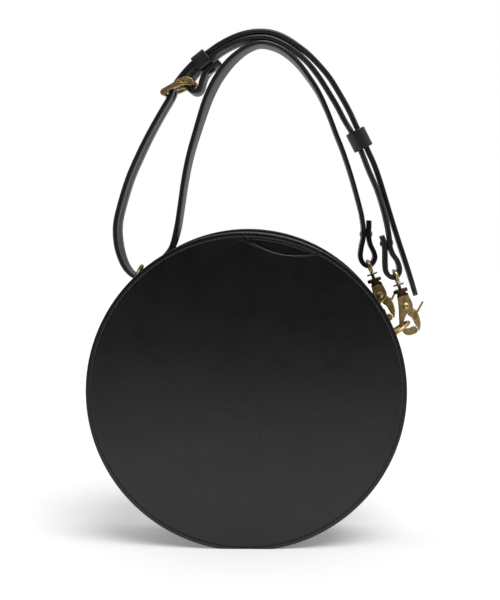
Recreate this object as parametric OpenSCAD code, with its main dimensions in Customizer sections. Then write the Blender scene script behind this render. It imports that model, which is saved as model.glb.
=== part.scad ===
// Round leather handbag with a looped carrying strap, two gate hooks and a prong buckle.
// Lengths in mm, angles in degrees. The bag faces -Y and stands on its rim flats.
// Angles of place are measured clockwise from the top, as seen from the front.

/* [View] */
// Piece to show
// Facets on round pieces
facets = 48; // [24:8:96]

/* [Bag] */
// Outer radius of the round body
bag_r = 110; // [90:1:130]
// Depth of the body from front to rear
bag_depth = 75; // [55:1:95]
// How far the body sits turned clockwise
roll_deg = 10.4; // [0:0.1:15]
// Depth of the flat that the rims stand on
flat_depth = 1.6; // [1:0.1:2.5]
// Height of the rim above the side wall
rim_w = 7; // [5:0.5:9]
// Thickness of the pocket panel
pocket_t = 1.6; // [1.2:0.1:2]
// Thickness of the front and rear panels
panel_t = 2; // [1.4:0.1:2.6]
// Thickness of the side wall leather
gusset_t = 2; // [1.4:0.1:2.6]
// Width of the sewn seam along the rim
seam_w = 5; // [4:0.1:6]
// Depth of the pocket opening's lower edge below the rim
notch_depth = 12; // [10:0.1:14]
// Radius of the pocket opening's curve
notch_r = 50; // [40:1:60]
// Angle from the body's top to the middle of the pocket opening
notch_deg = 2.6; // [0:0.1:6]
// Thickness of the lining
lining_t = 0.5; // [0.4:0.1:0.8]

/* [Zip] */
// Half of the arc that the zip takes
zip_half_deg = 44; // [38:1:46]
// Half of the opening between the two leather strips
zip_half_w = 7; // [6:0.5:8]
// Width of one zip tape
tape_w = 11.3; // [9:0.1:13]
// Thickness of the zip tape
tape_t = 0.75; // [0.6:0.05:1]
// Angle between two teeth
tooth_step_deg = 1.8; // [1.8:0.1:3]
// Height of a tooth
tooth_h = 2.4; // [2:0.1:2.8]
// Place of the closed slider on the arc
slider_deg = 35; // [30:1:37]
// Length of the slider's plates
slider_l = 11; // [9:0.5:13]
// Width of the slider's plates
slider_w = 8.6; // [8:0.1:9.4]
// Length of the pull
pull_l = 20; // [16:1:22]
// Width of the pull
pull_w = 6; // [5.4:0.1:7]

/* [Rings and tabs] */
// Angle from the zip's middle to the tabs
tab_deg = 58.6; // [56:0.1:62]
// Thickness of one tab layer
tab_t = 1.5; // [1.2:0.1:1.8]
// Width of a tab
tab_w = 14; // [11:0.5:14.5]
// Length of a tab past its ring, as an angle
tab_long_deg = 12; // [10:0.5:14]
// Wire radius of the rings
ring_wire_r = 1.3; // [1.1:0.1:1.5]
// Inner width of the rings
ring_w = 18; // [17:0.5:19]
// From a ring's straight bar to the top of its arc
ring_pitch = 14.2; // [13:0.1:16]
// Radius of the ring's corners
ring_corner_r = 2.2; // [2:0.1:3]
// Lift of the ring bars above the tab layers
tab_lift = 1.75; // [1.5:0.05:2]
// Share of the right rings' free depth that lies between them
hook_share = 0.5057; // [0.2:0.0001:0.8]
// Angle of the left ring off its tangent
left_ring_deg = 17; // [10:0.5:24]
// Angle of the rear right ring off its tangent
rear_ring_deg = 6.5; // [2:0.5:12]
// Angle of the front right ring off its tangent
front_ring_deg = 76; // [66:0.5:84]

/* [Strap] */
// Width of the strap
strap_w = 15; // [12:0.5:16]
// Thickness of the strap
strap_t = 3.2; // [2.6:0.1:3.4]
// Length of the fixed keeper along the strap
fixed_keeper_l = 10.9; // [8:0.1:13]
// Length of the sliding keeper along the strap
sliding_keeper_l = 13.9; // [10:0.1:16]
// Thickness of the keeper leather
keeper_t = 1.6; // [1.2:0.1:2]
// Wire radius of the buckle frame
frame_wire_r = 1.4; // [1.2:0.1:1.6]
// From the buckle's bar to its front bar
frame_l = 20.8; // [18:0.1:23]
// Rise of the buckle's front bar off the strap
frame_rise = 10.4; // [9:0.1:11.5]

/* [Hooks] */
// Length of a hook
hook_l = 47; // [44:0.5:50]
// Thickness of a hook body
hook_t = 4.6; // [4:0.1:5.2]
// Slant of the front hook
front_hook_deg = 17.4; // [14:0.1:20]
// Slant of the rear hook
rear_hook_deg = 19.8; // [16:0.1:22]
// Wire radius of the strap bail
bail_r = 1.2; // [1:0.1:1.4]
// Inner width of the strap bail
bail_w = 16.5; // [16:0.1:18]

/* [Hidden] */
$fn = facets;

leather = [0.13, 0.12, 0.12];
leather_edge = [0.2, 0.19, 0.2];
lining_c = [0.35, 0.3, 0.25];
tape_c = [0.16, 0.16, 0.17];
brass = [0.72, 0.56, 0.32];
dark_brass = [0.5, 0.38, 0.22];

cut_over = 1;
thin = 0.05;
run = 0.08;
layer_gap = 0.3;

hd = bag_depth / 2;
wall_r = bag_r - rim_w;
inner_r = wall_r - gusset_t;
front_y = -hd + pocket_t + panel_t;
rear_y = hd - panel_t;
ring_half = ring_w / 2 + 2 * ring_wire_r;
hook_y = ring_half + (-front_y - gusset_t - 2 * ring_half) * hook_share;
bag_z = bag_r - flat_depth;
bag_x = -bag_r * 0.0575;
y_axis = [-90, 0, 0];

// Place on the bag: from the bag's middle, and at a place on the rim turned with the bag.
module bag_place() translate([bag_x, 0, bag_z]) children();
module own(a) bag_place() rotate([0, roll_deg + a, 0]) children();
module disc(r, y0, y1) translate([0, y0, 0]) rotate(y_axis) cylinder(r = r, h = y1 - y0);
module band(a0, a1, pts)
  bag_place() rotate([0, roll_deg + a0 - 90, 0]) rotate(y_axis)
    rotate_extrude(angle = a1 - a0) polygon(pts);
module floor_cut() translate([-bag_r, -bag_depth, -bag_r * 3 + flat_depth])
  cube([bag_r * 2, bag_depth * 2, bag_r * 2]);
module bar_y(r, l) translate([0, -l / 2, 0]) rotate(y_axis) cylinder(r = r, h = l);

// Body panels
module pocket_panel() color(leather) bag_place() difference() {
  disc(bag_r, -hd, -hd + pocket_t);
  floor_cut();
  intersection() {
    disc(bag_r - seam_w, -hd - cut_over, -hd + pocket_t + cut_over);
    rotate([0, roll_deg + notch_deg, 0]) translate([0, 0, bag_r - notch_depth + notch_r])
      disc(notch_r, -hd - cut_over, -hd + pocket_t + cut_over);
  }
}
module front_panel() color(leather) bag_place() difference() {
  disc(bag_r, -hd + pocket_t, front_y);
  floor_cut();
}
module rear_panel() color(leather) bag_place() difference() {
  disc(bag_r, rear_y, hd);
  floor_cut();
}
module gusset() color(leather) difference() {
  band(zip_half_deg, 360 - zip_half_deg, [[inner_r, front_y], [bag_r, front_y],
    [bag_r, front_y + gusset_t], [wall_r, front_y + gusset_t], [wall_r, rear_y - gusset_t],
    [bag_r, rear_y - gusset_t], [bag_r, rear_y], [inner_r, rear_y]]);
  bag_place() floor_cut();
  tab_holes();
}
module lining_front() color(lining_c) bag_place()
  disc(inner_r - lining_t - thin * 4, front_y + thin, front_y + thin + lining_t);
module lining_rear() color(lining_c) bag_place()
  disc(inner_r - lining_t - thin * 4, rear_y - thin - lining_t, rear_y - thin);
module lining_gusset() color(lining_c) band(zip_half_deg, 360 - zip_half_deg,
  [[inner_r - thin - lining_t, front_y + thin], [inner_r - thin, front_y + thin],
   [inner_r - thin, rear_y - thin], [inner_r - thin - lining_t, rear_y - thin]]);

// Zip
tooth_in = 0.7;
tooth_out = 2;
cord_out = 2.6;
tooth_r0 = wall_r - gusset_t - tooth_h * 2 / 3;
tooth_r1 = tooth_r0 + tooth_h;
tape_in = cord_out + thin;
tape_top = inner_r - thin;
slider_gap = 0.3;
slider_t = 1.2;
neck_t = 1;
neck_l = 3;
module zip_strip_front() color(leather) band(-zip_half_deg, zip_half_deg, [[inner_r, front_y],
  [bag_r, front_y], [bag_r, front_y + gusset_t], [wall_r, front_y + gusset_t],
  [wall_r, -zip_half_w], [inner_r, -zip_half_w]]);
module zip_strip_rear() color(leather) band(-zip_half_deg, zip_half_deg, [[inner_r, zip_half_w],
  [wall_r, zip_half_w], [wall_r, rear_y - gusset_t], [bag_r, rear_y - gusset_t],
  [bag_r, rear_y], [inner_r, rear_y]]);
module zip_tape(s) color(tape_c) band(-zip_half_deg, zip_half_deg, [[tape_top - tape_t, s * tape_in],
  [tape_top, s * tape_in], [tape_top, s * (tape_in + tape_w)], [tape_top - tape_t, s * (tape_in + tape_w)]]);
module zip_tape_front() zip_tape(-1);
module zip_tape_rear() zip_tape(1);
module zip_teeth(s) color(brass) {
  cord_in = tooth_out - thin * 4;
  cord_low = tape_top - tape_t - tooth_h / 6;
  cord_top = tape_top + tooth_h / 6;
  band(-zip_half_deg + tooth_step_deg, zip_half_deg - tooth_step_deg,
    [[cord_low, s * cord_in], [cord_top, s * cord_in], [cord_top, s * cord_out], [cord_low, s * cord_out]]);
  for (a = [-zip_half_deg + 2 * tooth_step_deg : 2 * tooth_step_deg : zip_half_deg - 2 * tooth_step_deg])
    own(a + (s > 0 ? tooth_step_deg / 2 : -tooth_step_deg / 2))
      translate([-tooth_h / 4, s > 0 ? tooth_in : -tooth_out, tooth_r0])
        cube([tooth_h / 2, tooth_out - tooth_in, tooth_h]);
}
module zip_teeth_front() zip_teeth(-1);
module zip_teeth_rear() zip_teeth(1);
module zip_stops() color(brass) for (s = [-1, 1]) own(s * (zip_half_deg - tooth_step_deg / 2))
  translate([-tooth_h / 6, -tooth_out, tooth_r0]) cube([tooth_h / 3, tooth_out * 2, tooth_h]);

bridge_r = tooth_r1 + slider_gap + slider_t;
pin_r = 0.65;
pin_gap = 0.45;
pin_z = bridge_r + pin_r + pin_gap;
bridge_in = 2.6;
bridge_t = 1.1;
bridge_h = (pin_r + pin_gap) * 2 + layer_gap - thin * 2;
module zip_slider() color(brass) own(slider_deg) {
  translate([-slider_l / 2, -slider_w / 2, tooth_r1 + slider_gap]) cube([slider_l, slider_w, slider_t]);
  translate([-slider_l / 2, -slider_w / 2, tooth_r0 - slider_gap - slider_t])
    cube([slider_l, slider_w, slider_t]);
  translate([-neck_l / 2, -neck_t / 2, tooth_r0 - slider_gap - thin])
    cube([neck_l, neck_t, tooth_h + (slider_gap + thin) * 2]);
  for (s = [-1, 1]) translate([s > 0 ? bridge_in - bridge_t : -bridge_in, -bridge_t, bridge_r - thin])
    cube([bridge_t, bridge_t * 2, bridge_h]);
  translate([-bridge_in, -bridge_t, bridge_r + bridge_h - thin * 2])
    cube([bridge_in * 2, bridge_t * 2, bridge_t]);
}
module zip_pull() color(brass) own(slider_deg) translate([0, 0, pin_z]) {
  bar_y(pin_r, pull_w);
  for (s = [-1, 1]) translate([0, s * (pull_w / 2 - bridge_t / 2), 0]) {
    rotate(y_axis) translate([0, 0, -bridge_t / 2]) cylinder(r = pin_r * 1.3, h = bridge_t);
    translate([0, -bridge_t / 2, -pin_r]) cube([pull_l * 0.34, bridge_t, pin_r * 2]);
  }
  translate([pull_l * 0.3, -pull_w / 2, -pin_r]) cube([pull_l * 0.6, pull_w, pin_r * 2]);
  translate([pull_l * 0.9, 0, -pin_r]) cylinder(r = pull_w / 2, h = pin_r * 2);
}

// Tabs, rings and their rivets
bar_r = wall_r + thin + 2 * tab_t + tab_lift;
eye_in = ring_wire_r + layer_gap;
eye_out = eye_in + tab_t;
rivet_r = 1.1;
head_r = 3;
head_h = 1;
rivet_share = 0.62;
side_left = -1;
side_right = 1;
module ring_bar(side) own(side * tab_deg) translate([0, 0, bar_r]) children();
module tab(side, y0) color(leather_edge) difference() {
  union() {
    translate([0, y0, 0]) ring_bar(side) bar_y(eye_out, tab_w + thin * 4);
    band(side > 0 ? tab_deg : -tab_deg - tab_long_deg, side > 0 ? tab_deg + tab_long_deg : -tab_deg,
      [[wall_r + thin, y0 - tab_w / 2], [wall_r + thin + 2 * tab_t, y0 - tab_w / 2],
       [wall_r + thin + 2 * tab_t, y0 + tab_w / 2], [wall_r + thin, y0 + tab_w / 2]]);
    translate([0, y0, 0]) own(side * tab_deg) translate([0, tab_w / 2 - thin * 2, 0]) rotate([90, 0, 0])
      linear_extrude(tab_w - thin * 4) polygon([[side * eye_out * 0.5, bar_r + eye_out * 0.8],
        [side * bag_r * 0.085, wall_r + 2 * tab_t - bag_r * 0.008], [side * bag_r * 0.02, wall_r + tab_t],
        [side * bag_r * 0.006, wall_r + tab_t]]);
  }
  translate([0, y0, 0]) ring_bar(side) bar_y(eye_in, tab_w + cut_over * 2);
  translate([0, y0, 0]) own(side * (tab_deg + tab_long_deg * rivet_share))
    cylinder(r = rivet_r + thin, h = bag_r * 2);
}
module tab_holes() for (p = [[side_left, 0], [side_right, -hook_y], [side_right, hook_y]])
  translate([0, p[1], 0]) own(p[0] * (tab_deg + tab_long_deg * rivet_share))
    translate([0, 0, inner_r - cut_over]) cylinder(r = rivet_r + thin, h = gusset_t + cut_over * 2);
module left_tab() tab(side_left, 0);
module right_front_tab() tab(side_right, -hook_y);
module right_rear_tab() tab(side_right, hook_y);
tab_top = wall_r + thin + 2 * tab_t;
module dome(r, h) intersection() {
  cylinder(r = r, h = h);
  translate([0, 0, h - (r * r + h * h) / (2 * h)]) sphere(r = (r * r + h * h) / (2 * h));
}
module tab_rivets() color(brass) for (p = [[side_left, 0], [side_right, -hook_y], [side_right, hook_y]])
  translate([0, p[1], 0]) own(p[0] * (tab_deg + tab_long_deg * rivet_share)) {
    translate([0, 0, inner_r + thin]) cylinder(r = rivet_r, h = tab_top - inner_r + thin * 4);
    translate([0, 0, tab_top + thin * 3]) dome(head_r, head_h);
  }
// A ring: straight bar along Y, two sides, round top. The arc lies towards +Z.
module ring() {
  hw = ring_w / 2 + ring_wire_r;
  cr = ring_corner_r;
  bar_y(ring_wire_r, 2 * (hw - cr));
  for (s = [-1, 1]) {
    translate([0, s * (hw - cr), cr]) rotate([0, 90, 0]) rotate([0, 0, s > 0 ? 0 : -90])
      rotate_extrude(angle = 90) translate([cr, 0]) circle(r = ring_wire_r);
    translate([0, s * hw, cr]) cylinder(r = ring_wire_r, h = ring_pitch - hw - cr);
  }
  translate([0, 0, ring_pitch - hw]) rotate([0, -90, 0]) rotate([0, 0, -90])
    rotate_extrude(angle = 180) translate([hw, 0]) circle(r = ring_wire_r);
}
module left_ring() color(brass) ring_bar(side_left) rotate([0, 90 - left_ring_deg, 0]) ring();
module right_front_ring() color(brass) translate([0, -hook_y, 0]) ring_bar(side_right)
  rotate([0, -90 + front_ring_deg, 0]) ring();
module right_rear_ring() color(brass) translate([0, hook_y, 0]) ring_bar(side_right)
  rotate([0, -90 + rear_ring_deg, 0]) ring();

// Strap. Each row of a route: across, up, depth as a share of hook_y, tilt of the width.
long_route_shares = [
  [0.784, 1.060, 1, 0], [0.784, 1.015, 1, 0], [0.782, 0.967, 1, 0], [0.793, 0.907, 1, 0],
  [0.815, 0.860, 1, 0], [0.824, 0.822, 1, 0], [0.808, 0.784, 1, 0], [0.780, 0.766, 1, 0],
  [0.747, 0.784, 1, 0], [0.730, 0.827, 1, 0], [0.735, 0.885, 1, 0], [0.747, 0.945, 1, 0],
  [0.748, 1.005, 0.98, 0], [0.739, 1.069, 0.88, 0], [0.724, 1.136, 0.74, 0],
  [0.667, 1.333, 0.5, 0], [0.611, 1.496, 0.32, 0], [0.565, 1.609, 0.2, 0],
  [0.511, 1.747, 0.08, 0], [0.451, 1.872, 0, 2], [0.382, 1.976, 0, 4],
  [0.314, 2.060, 0, 6], [0.233, 2.129, 0, 8], [0.155, 2.165, 0, 9], [0.075, 2.175, 0, 9],
  [-0.005, 2.145, 0, 11], [-0.073, 2.095, 0, 14], [-0.133, 2.033, 0, 16],
  [-0.200, 1.936, 0, 16], [-0.258, 1.811, 0, 15], [-0.318, 1.628, 0, 11],
  [-0.364, 1.472, 0, 9], [-0.396, 1.319, 0, 8], [-0.424, 1.135, 0, 7],
  [-0.445, 1.009, 0, 7], [-0.478, 0.896, 0, 4], [-0.524, 0.835, 0, 2],
  [-0.576, 0.781, 0, 0], [-0.631, 0.733, 0, 0], [-0.684, 0.705, 0, 0],
  [-0.736, 0.720, 0, 3], [-0.785, 0.784, 0, 8], [-0.820, 0.893, 0, 12],
  [-0.829, 1.018, 0, 12], [-0.807, 1.135, 0, 12], [-0.750, 1.320, 0, 12],
  [-0.686, 1.467, 0, 12], [-0.624, 1.593, 0, 11], [-0.551, 1.725, 0.03, 10],
  [-0.482, 1.842, 0.071, 10], [-0.465, 1.890, 0.093, 10], [-0.439, 1.934, 0.104, 10],
  [-0.394, 1.991, 0.108, 10], [-0.344, 2.044, 0.104, 10], [-0.301, 2.078, 0.091, 10],
  [-0.245, 2.115, 0.069, 10], [-0.175, 2.163, 0.043, 10], [-0.090, 2.208, 0.01, 9],
  [-0.007, 2.236, 0, 9], [0.075, 2.247, 0, 8], [0.154, 2.242, 0, 6], [0.234, 2.215, 0, 4],
  [0.317, 2.165, 0, 2], [0.405, 2.096, 0, 0], [0.512, 1.978, 0, 0],
  [0.588, 1.859, -0.03, 0], [0.647, 1.753, -0.1, 0], [0.699, 1.641, -0.2, 0],
  [0.758, 1.518, -0.26, 0], [0.805, 1.415, -0.28, 0], [0.847, 1.296, -0.28, 0],
  [0.897, 1.134, -0.27, 0], [0.938, 1.005, -0.26, 0], [0.988, 0.855, -0.24, 0],
  [1.033, 0.720, -0.22, 0], [1.075, 0.587, -0.2, 0]
];
short_route_shares = [
  [-0.167, 2.061, -0.043, 10], [-0.201, 2.038, -0.03, 10], [-0.234, 2.014, -0.019, 10],
  [-0.264, 1.980, -0.019, 10], [-0.281, 1.937, -0.037, 10], [-0.289, 1.903, -0.056, 10],
  [-0.305, 1.878, -0.061, 10], [-0.328, 1.871, -0.046, 10], [-0.351, 1.880, -0.018, 10],
  [-0.370, 1.900, 0.015, 10], [-0.377, 1.919, 0.036, 10], [-0.370, 1.939, 0.045, 10],
  [-0.349, 1.966, 0.047, 10], [-0.309, 2.014, 0.048, 10], [-0.267, 2.056, 0.043, 10],
  [-0.2182, 2.0926, 0.03, 10], [-0.160, 2.134, 0.01, 10], [-0.078, 2.176, 0, 9],
  [0.000, 2.202, 0, 9], [0.075, 2.211, 0, 8], [0.151, 2.205, 0, 6], [0.256, 2.160, 0, 3],
  [0.362, 2.080, 0, 0], [0.442, 1.987, 0, 0], [0.511, 1.882, 0, 0],
  [0.571, 1.782, -0.03, 0], [0.618, 1.693, -0.1, 0], [0.665, 1.615, -0.2, 0],
  [0.717, 1.511, -0.3, 0], [0.769, 1.378, -0.48, 0], [0.820, 1.258, -0.64, 0],
  [0.858, 1.135, -0.84, 0], [0.882, 1.033, -0.97, 0], [0.895, 0.955, -1, 0],
  [0.900, 0.902, -1, 0], [0.917, 0.856, -1, 0], [0.945, 0.815, -1, 0],
  [0.959, 0.771, -1, 0], [0.956, 0.737, -1, 0], [0.933, 0.711, -1, 0],
  [0.900, 0.716, -1, 0], [0.876, 0.746, -1, 0], [0.870, 0.791, -1, 0],
  [0.869, 0.842, -1, 0], [0.868, 0.891, -1, 0], [0.862, 0.931, -1, 0],
  [0.848, 0.969, -1, 0]
];
loop_mid = [0.075 * bag_r, 1.36 * bag_r];
strap_deg = 49.3;
fold_rows = 15;
edge_c = 0.7;

function unit(v) = v / norm(v);
function place(row) = [row[0] * bag_r, row[2] * hook_y, row[1] * bag_r];
function ahead(pts, i) = pts[min(i + 1, len(pts) - 1)] - pts[max(i - 1, 0)];
function outward(pts, i) = let (t = ahead(pts, i), n = unit([-t[2], t[0]]),
  r = [pts[i][0] - loop_mid[0], pts[i][2] - loop_mid[1]]) n * r < 0 ? -n : n;
function width_dir(rows, pts, i, fixed) = let (
  n = i < fixed ? [-sin(strap_deg), cos(strap_deg)] : outward(pts, i),
  a = rows[i][3]) [-sin(a) * n[0], cos(a), -sin(a) * n[1]];
function section(w, t) = let (a = w / 2, b = t / 2, c = edge_c) [[a - c, -b], [a, -b + c], [a, b - c],
  [a - c, b], [-a + c, b], [-a, b - c], [-a, -b + c], [-a + c, -b]];
function ribbon_points(rows, w, t, fixed) = let (pts = [for (r = rows) place(r)])
  [for (i = [0 : len(rows) - 1]) let (a = width_dir(rows, pts, i, fixed), n = unit(cross(ahead(pts, i), a)))
    for (s = section(w, t)) pts[i] + a * s[0] + n * s[1]];
function tube_faces(n, m) = concat([[for (j = [0 : m - 1]) j]],
  [[for (j = [m - 1 : -1 : 0]) (n - 1) * m + j]],
  [for (i = [0 : n - 2]) for (j = [0 : m - 1]) let (k = (j + 1) % m)
    [i * m + j, (i + 1) * m + j, (i + 1) * m + k, i * m + k]]);
module ribbon(rows, w, t, fixed = 0) polyhedron(ribbon_points(rows, w, t, fixed), tube_faces(len(rows), 8));
// The loops keep their size and their places at the tops of the hooks and at the buckle's bar.
loop_l = strap_t * 34.375;
rear_top_share = [0.77482, 0.80504];
front_top_share = [0.92675, 0.75832];
rear_rows = [12, 16];
front_rows = [14, 18];
function hook_top(w, deg) = w + hook_l * [seat[1] * sin(deg) - seat[0] * cos(deg),
  -seat[1] * cos(deg) - seat[0] * sin(deg)];
bar_share = [0.3366, 1.9196];
bar_near = [0.35, 0.7];
function rear_at(p) = hook_top(ring_top(rear_ring_deg), rear_hook_deg) + (p - rear_top_share) * loop_l;
function front_at(p) = hook_top(ring_top(front_ring_deg), front_hook_deg) + (p - front_top_share) * loop_l;
function part_of(i, ends) = min(1, max(0, (ends[1] - i) / (ends[1] - ends[0])));
function bar_at(p) = let (c = [-bar_share[0], bar_share[1]])
  p * bag_r + (p - c) * (loop_l - bag_r) * part_of(norm(p - c), bar_near);
function moved(row, p, u) = let (q = bar_at([row[0], row[1]]) * (1 - u) + p * u)
  [q[0] / bag_r, q[1] / bag_r, row[2], row[3]];
function long_rows() = [for (i = [0 : len(long_route_shares) - 1]) let (r = long_route_shares[i])
  moved(r, rear_at([r[0], r[1]]), part_of(i, rear_rows))];
function short_rows() = let (n = len(short_route_shares)) [for (i = [0 : n - 1])
  let (r = short_route_shares[i]) moved(r, front_at([r[0], r[1]]), part_of(n - 1 - i, front_rows))];

// Buckle frame of reference: X along the strap, Z outwards, Y across.
tilt_deg = 10;
module buckle_place() bag_place() translate([-bar_share[0] * bag_r, 0, bar_share[1] * bag_r])
  rotate([0, -strap_deg, 0]) rotate([-tilt_deg, 0, 0]) children();
billet_x = -10.5;
billet_z = 8.6;
billet_deg = 6;
slot_l = 14;
prong_r = 1;
prong_w = 3.4;
slot_in = (slot_l - prong_w) / 2;
loop_rivet_r = 1.2;
rivet_hole_r = loop_rivet_r + thin;
module long_strap() color(leather) difference() {
  bag_place() ribbon(long_rows(), strap_w, strap_t);
  buckle_place() translate([billet_x, 0, billet_z]) rotate([0, -billet_deg, 0]) {
    translate([-slot_in, -prong_w / 2, -strap_t]) cube([slot_in * 2, prong_w, strap_t * 2]);
    for (s = [-1, 1]) translate([s * slot_in, 0, -strap_t]) cylinder(r = prong_w / 2, h = strap_t * 2);
  }
  rear_rivet_place() bar_x(rivet_hole_r, strap_t * 6);
}
module short_strap() color(leather) difference() {
  bag_place() ribbon(short_rows(), strap_w, strap_t, fold_rows);
  buckle_place() translate([-strap_t * 1.7, -prong_w / 2 - thin * 4, -strap_t * 0.95])
    cube([strap_t * 2.5, prong_w + thin * 8, strap_t * 2.6]);
  buckle_rivet_place() translate([0, 0, -strap_t * 2]) cylinder(r = rivet_hole_r, h = strap_t * 4);
  front_rivet_place() bar_x(rivet_hole_r, strap_t * 6);
}
loop_head_r = 2.4;
loop_head_h = 0.75;
buckle_head_r = 3.6;
rear_layers_share = 0.04;
front_layers_share = 0.04136;
buckle_layers_share = 0.05818;
rear_rivet_share = [0.7665, 0.972];
front_rivet_share = [0.8785, 0.925];
front_rivet_deg = 8;
buckle_rivet_share = [0.1464, 0.0079];
buckle_rivet_deg = 8.5;
module bar_x(r, l) translate([-l / 2, 0, 0]) rotate([0, 90, 0]) cylinder(r = r, h = l);
module rear_rivet_place() bag_place() let (v = rear_at(rear_rivet_share))
  translate([v[0], hook_y, v[1]]) children();
module front_rivet_place() bag_place() let (v = front_at(front_rivet_share))
  translate([v[0], -hook_y, v[1]]) rotate([0, -front_rivet_deg, 0]) children();
module buckle_rivet_place() buckle_place()
  translate([buckle_rivet_share[0] * loop_l, 0, buckle_rivet_share[1] * loop_l])
  rotate([0, buckle_rivet_deg, 0]) children();
module cap_rivet(grip, r, low = 1) {
  bar_x(loop_rivet_r, grip + thin * 3);
  translate([grip / 2 + thin, 0, 0]) rotate([0, 90, 0]) dome(r, loop_head_h);
  translate([-grip / 2 - thin, 0, 0]) rotate([0, -90, 0]) dome(r, loop_head_h * low);
}
module rear_loop_rivet() color(dark_brass) rear_rivet_place()
  cap_rivet(strap_t + rear_layers_share * loop_l, loop_head_r);
module front_loop_rivet() color(dark_brass) front_rivet_place()
  cap_rivet(strap_t + front_layers_share * loop_l, loop_head_r);
module buckle_rivet() color(dark_brass) buckle_rivet_place() rotate([0, 90, 0])
  cap_rivet(strap_t + buckle_layers_share * loop_l, buckle_head_r, 0.7);

// Keepers: leather loops round the strap, X along the strap.
module keeper(l, w, h, t) difference() {
  translate([-l / 2, -w / 2 - t, -h / 2 - t]) cube([l, w + 2 * t, h + 2 * t]);
  translate([-l / 2 - cut_over, -w / 2, -h / 2]) cube([l + 2 * cut_over, w, h]);
  for (sy = [-1, 1]) for (sz = [-1, 1]) translate([0, sy * (w / 2 + t), sz * (h / 2 + t)])
    rotate([45, 0, 0]) cube([l + 2 * cut_over, t * 0.8, t * 0.8], center = true);
}
fixed_x = 0.149 * loop_l;
fixed_z = 0.0536 * loop_l;
fixed_turn = 11;
fixed_layers_share = 0.0441;
fixed_free = [1.2, 0.3];
module fixed_keeper() color(leather_edge) difference() {
  buckle_place() translate([fixed_x, 0, fixed_z]) rotate([0, fixed_turn, 0])
    keeper(fixed_keeper_l, strap_w + fixed_free[0], strap_t + fixed_layers_share * loop_l + fixed_free[1],
      keeper_t);
  buckle_rivet_place() translate([0, 0, -strap_t * 2]) cylinder(r = rivet_hole_r, h = strap_t * 3.2);
}
slide_share = [0.7095, 1.5745];
slide_deg = 63.1;
slide_layers_share = 0.05818;
slide_free = [3.4, 0.6];
module sliding_keeper() color(leather_edge) bag_place()
  translate([slide_share[0] * bag_r, -0.25 * hook_y, slide_share[1] * bag_r]) rotate([0, slide_deg, 0])
    keeper(sliding_keeper_l, strap_w + slide_free[0], strap_t + slide_layers_share * bag_r + slide_free[1],
      keeper_t);

// Buckle. Rail outline: along from the bar and inward, in shares of the frame's length.
frame_deg = asin(frame_rise / frame_l);
frame_w = ring_w / 2 + frame_wire_r;
rail_shares = [
  [-0.082, -0.014], [-0.060, -0.120], [0.040, -0.215], [0.190, -0.262], [0.345, -0.262],
  [0.480, -0.235], [0.690, -0.190], [0.900, -0.155], [1.030, -0.125], [1.092, -0.055],
  [1.085, 0.035], [1.030, 0.085], [0.960, 0.070], [0.905, 0.000], [0.820, -0.024],
  [0.700, -0.034], [0.525, -0.026], [0.400, -0.042], [0.315, -0.044], [0.200, -0.005],
  [0.090, 0.065], [-0.015, 0.086], [-0.068, 0.050]
];
hollow_shares = [[0.115, -0.105], [0.270, -0.150]];
hollow_r = 1.05;
module buckle_frame() color(brass) buckle_place() rotate([0, 180 + frame_deg, 0]) {
  bar_y(ring_wire_r, frame_w * 2);
  for (s = [-1, 1]) difference() {
    translate([0, s * frame_w + frame_wire_r, 0]) rotate([90, 0, 0]) linear_extrude(frame_wire_r * 2)
      polygon(smooth([for (p = rail_shares) p * frame_l], 3));
    hull() for (h = hollow_shares)
      translate([h[0] * frame_l, s * (frame_w + frame_wire_r * 1.5), h[1] * frame_l])
        bar_y(hollow_r, frame_wire_r * 2);
  }
  translate([frame_l, 0, 0]) bar_y(frame_wire_r, frame_w * 2);
}
prong_up = prong_r + frame_wire_r + run;
prong_deg = asin(prong_up / frame_l);
prong_collar = 2.5;
prong_free = 0.5;
module buckle_prong() color(brass) buckle_place() rotate([0, 180 + frame_deg, 0]) difference() {
  union() {
    bar_y(prong_collar, prong_w - prong_free);
    rotate([0, prong_deg, 0]) rotate([0, 90, 0]) cylinder(r = prong_r, h = frame_l + frame_wire_r * 1.6);
  }
  bar_y(ring_wire_r + run, prong_w + cut_over);
}

// Hooks: X to the right, Z up, eye at the top, thickness along Y.
body_shares = [
  [0.076, -0.374], [-0.058, -0.374], [-0.080, -0.468], [-0.106, -0.596], [-0.140, -0.723],
  [-0.164, -0.843], [-0.140, -0.936], [-0.094, -0.987], [-0.030, -1.000], [0.038, -0.991],
  [0.070, -0.970], [0.074, -0.928], [0.055, -0.894], [0.026, -0.885], [-0.030, -0.894],
  [-0.085, -0.885], [-0.109, -0.830], [-0.081, -0.770], [-0.040, -0.712], [0.005, -0.672],
  [0.058, -0.658], [0.097, -0.619], [0.112, -0.566], [0.107, -0.500], [0.095, -0.430]
];
gate_shares = [
  [0.130, -0.651], [0.149, -0.711], [0.153, -0.796], [0.143, -0.877], [0.117, -0.940],
  [0.091, -0.979], [0.083, -0.962], [0.083, -0.923], [0.066, -0.887], [0.055, -0.826],
  [0.038, -0.757], [0.000, -0.685]
];
seat = [-0.0234, -0.8096];
pivot = [0.0051, -0.566];
lobe_r = 0.1064 * hook_l;
root_t = 1.4;
slot_t = 1.8;
hook_rivet_r = 1;
swivel_r = 1.2;
head_share = 1.55;
function curve(p, q, r, s, u) = (2 * q + (r - p) * u + (2 * p - 5 * q + 4 * r - s) * u * u
  + (3 * q - p - 3 * r + s) * u * u * u) / 2;
function smooth(pts, k) = let (n = len(pts)) [for (i = [0 : n - 1]) for (j = [0 : k - 1])
  curve(pts[(i + n - 1) % n], pts[i], pts[(i + 1) % n], pts[(i + 2) % n], j / k)];
function inset(pts, c) = let (n = len(pts)) [for (i = [0 : n - 1])
  let (t = unit(pts[(i + 1) % n] - pts[(i + n - 1) % n])) pts[i] + c * [-t[1], t[0]]];
function at_y(pts, y) = [for (p = pts) [p[0], y, p[1]]];
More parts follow.
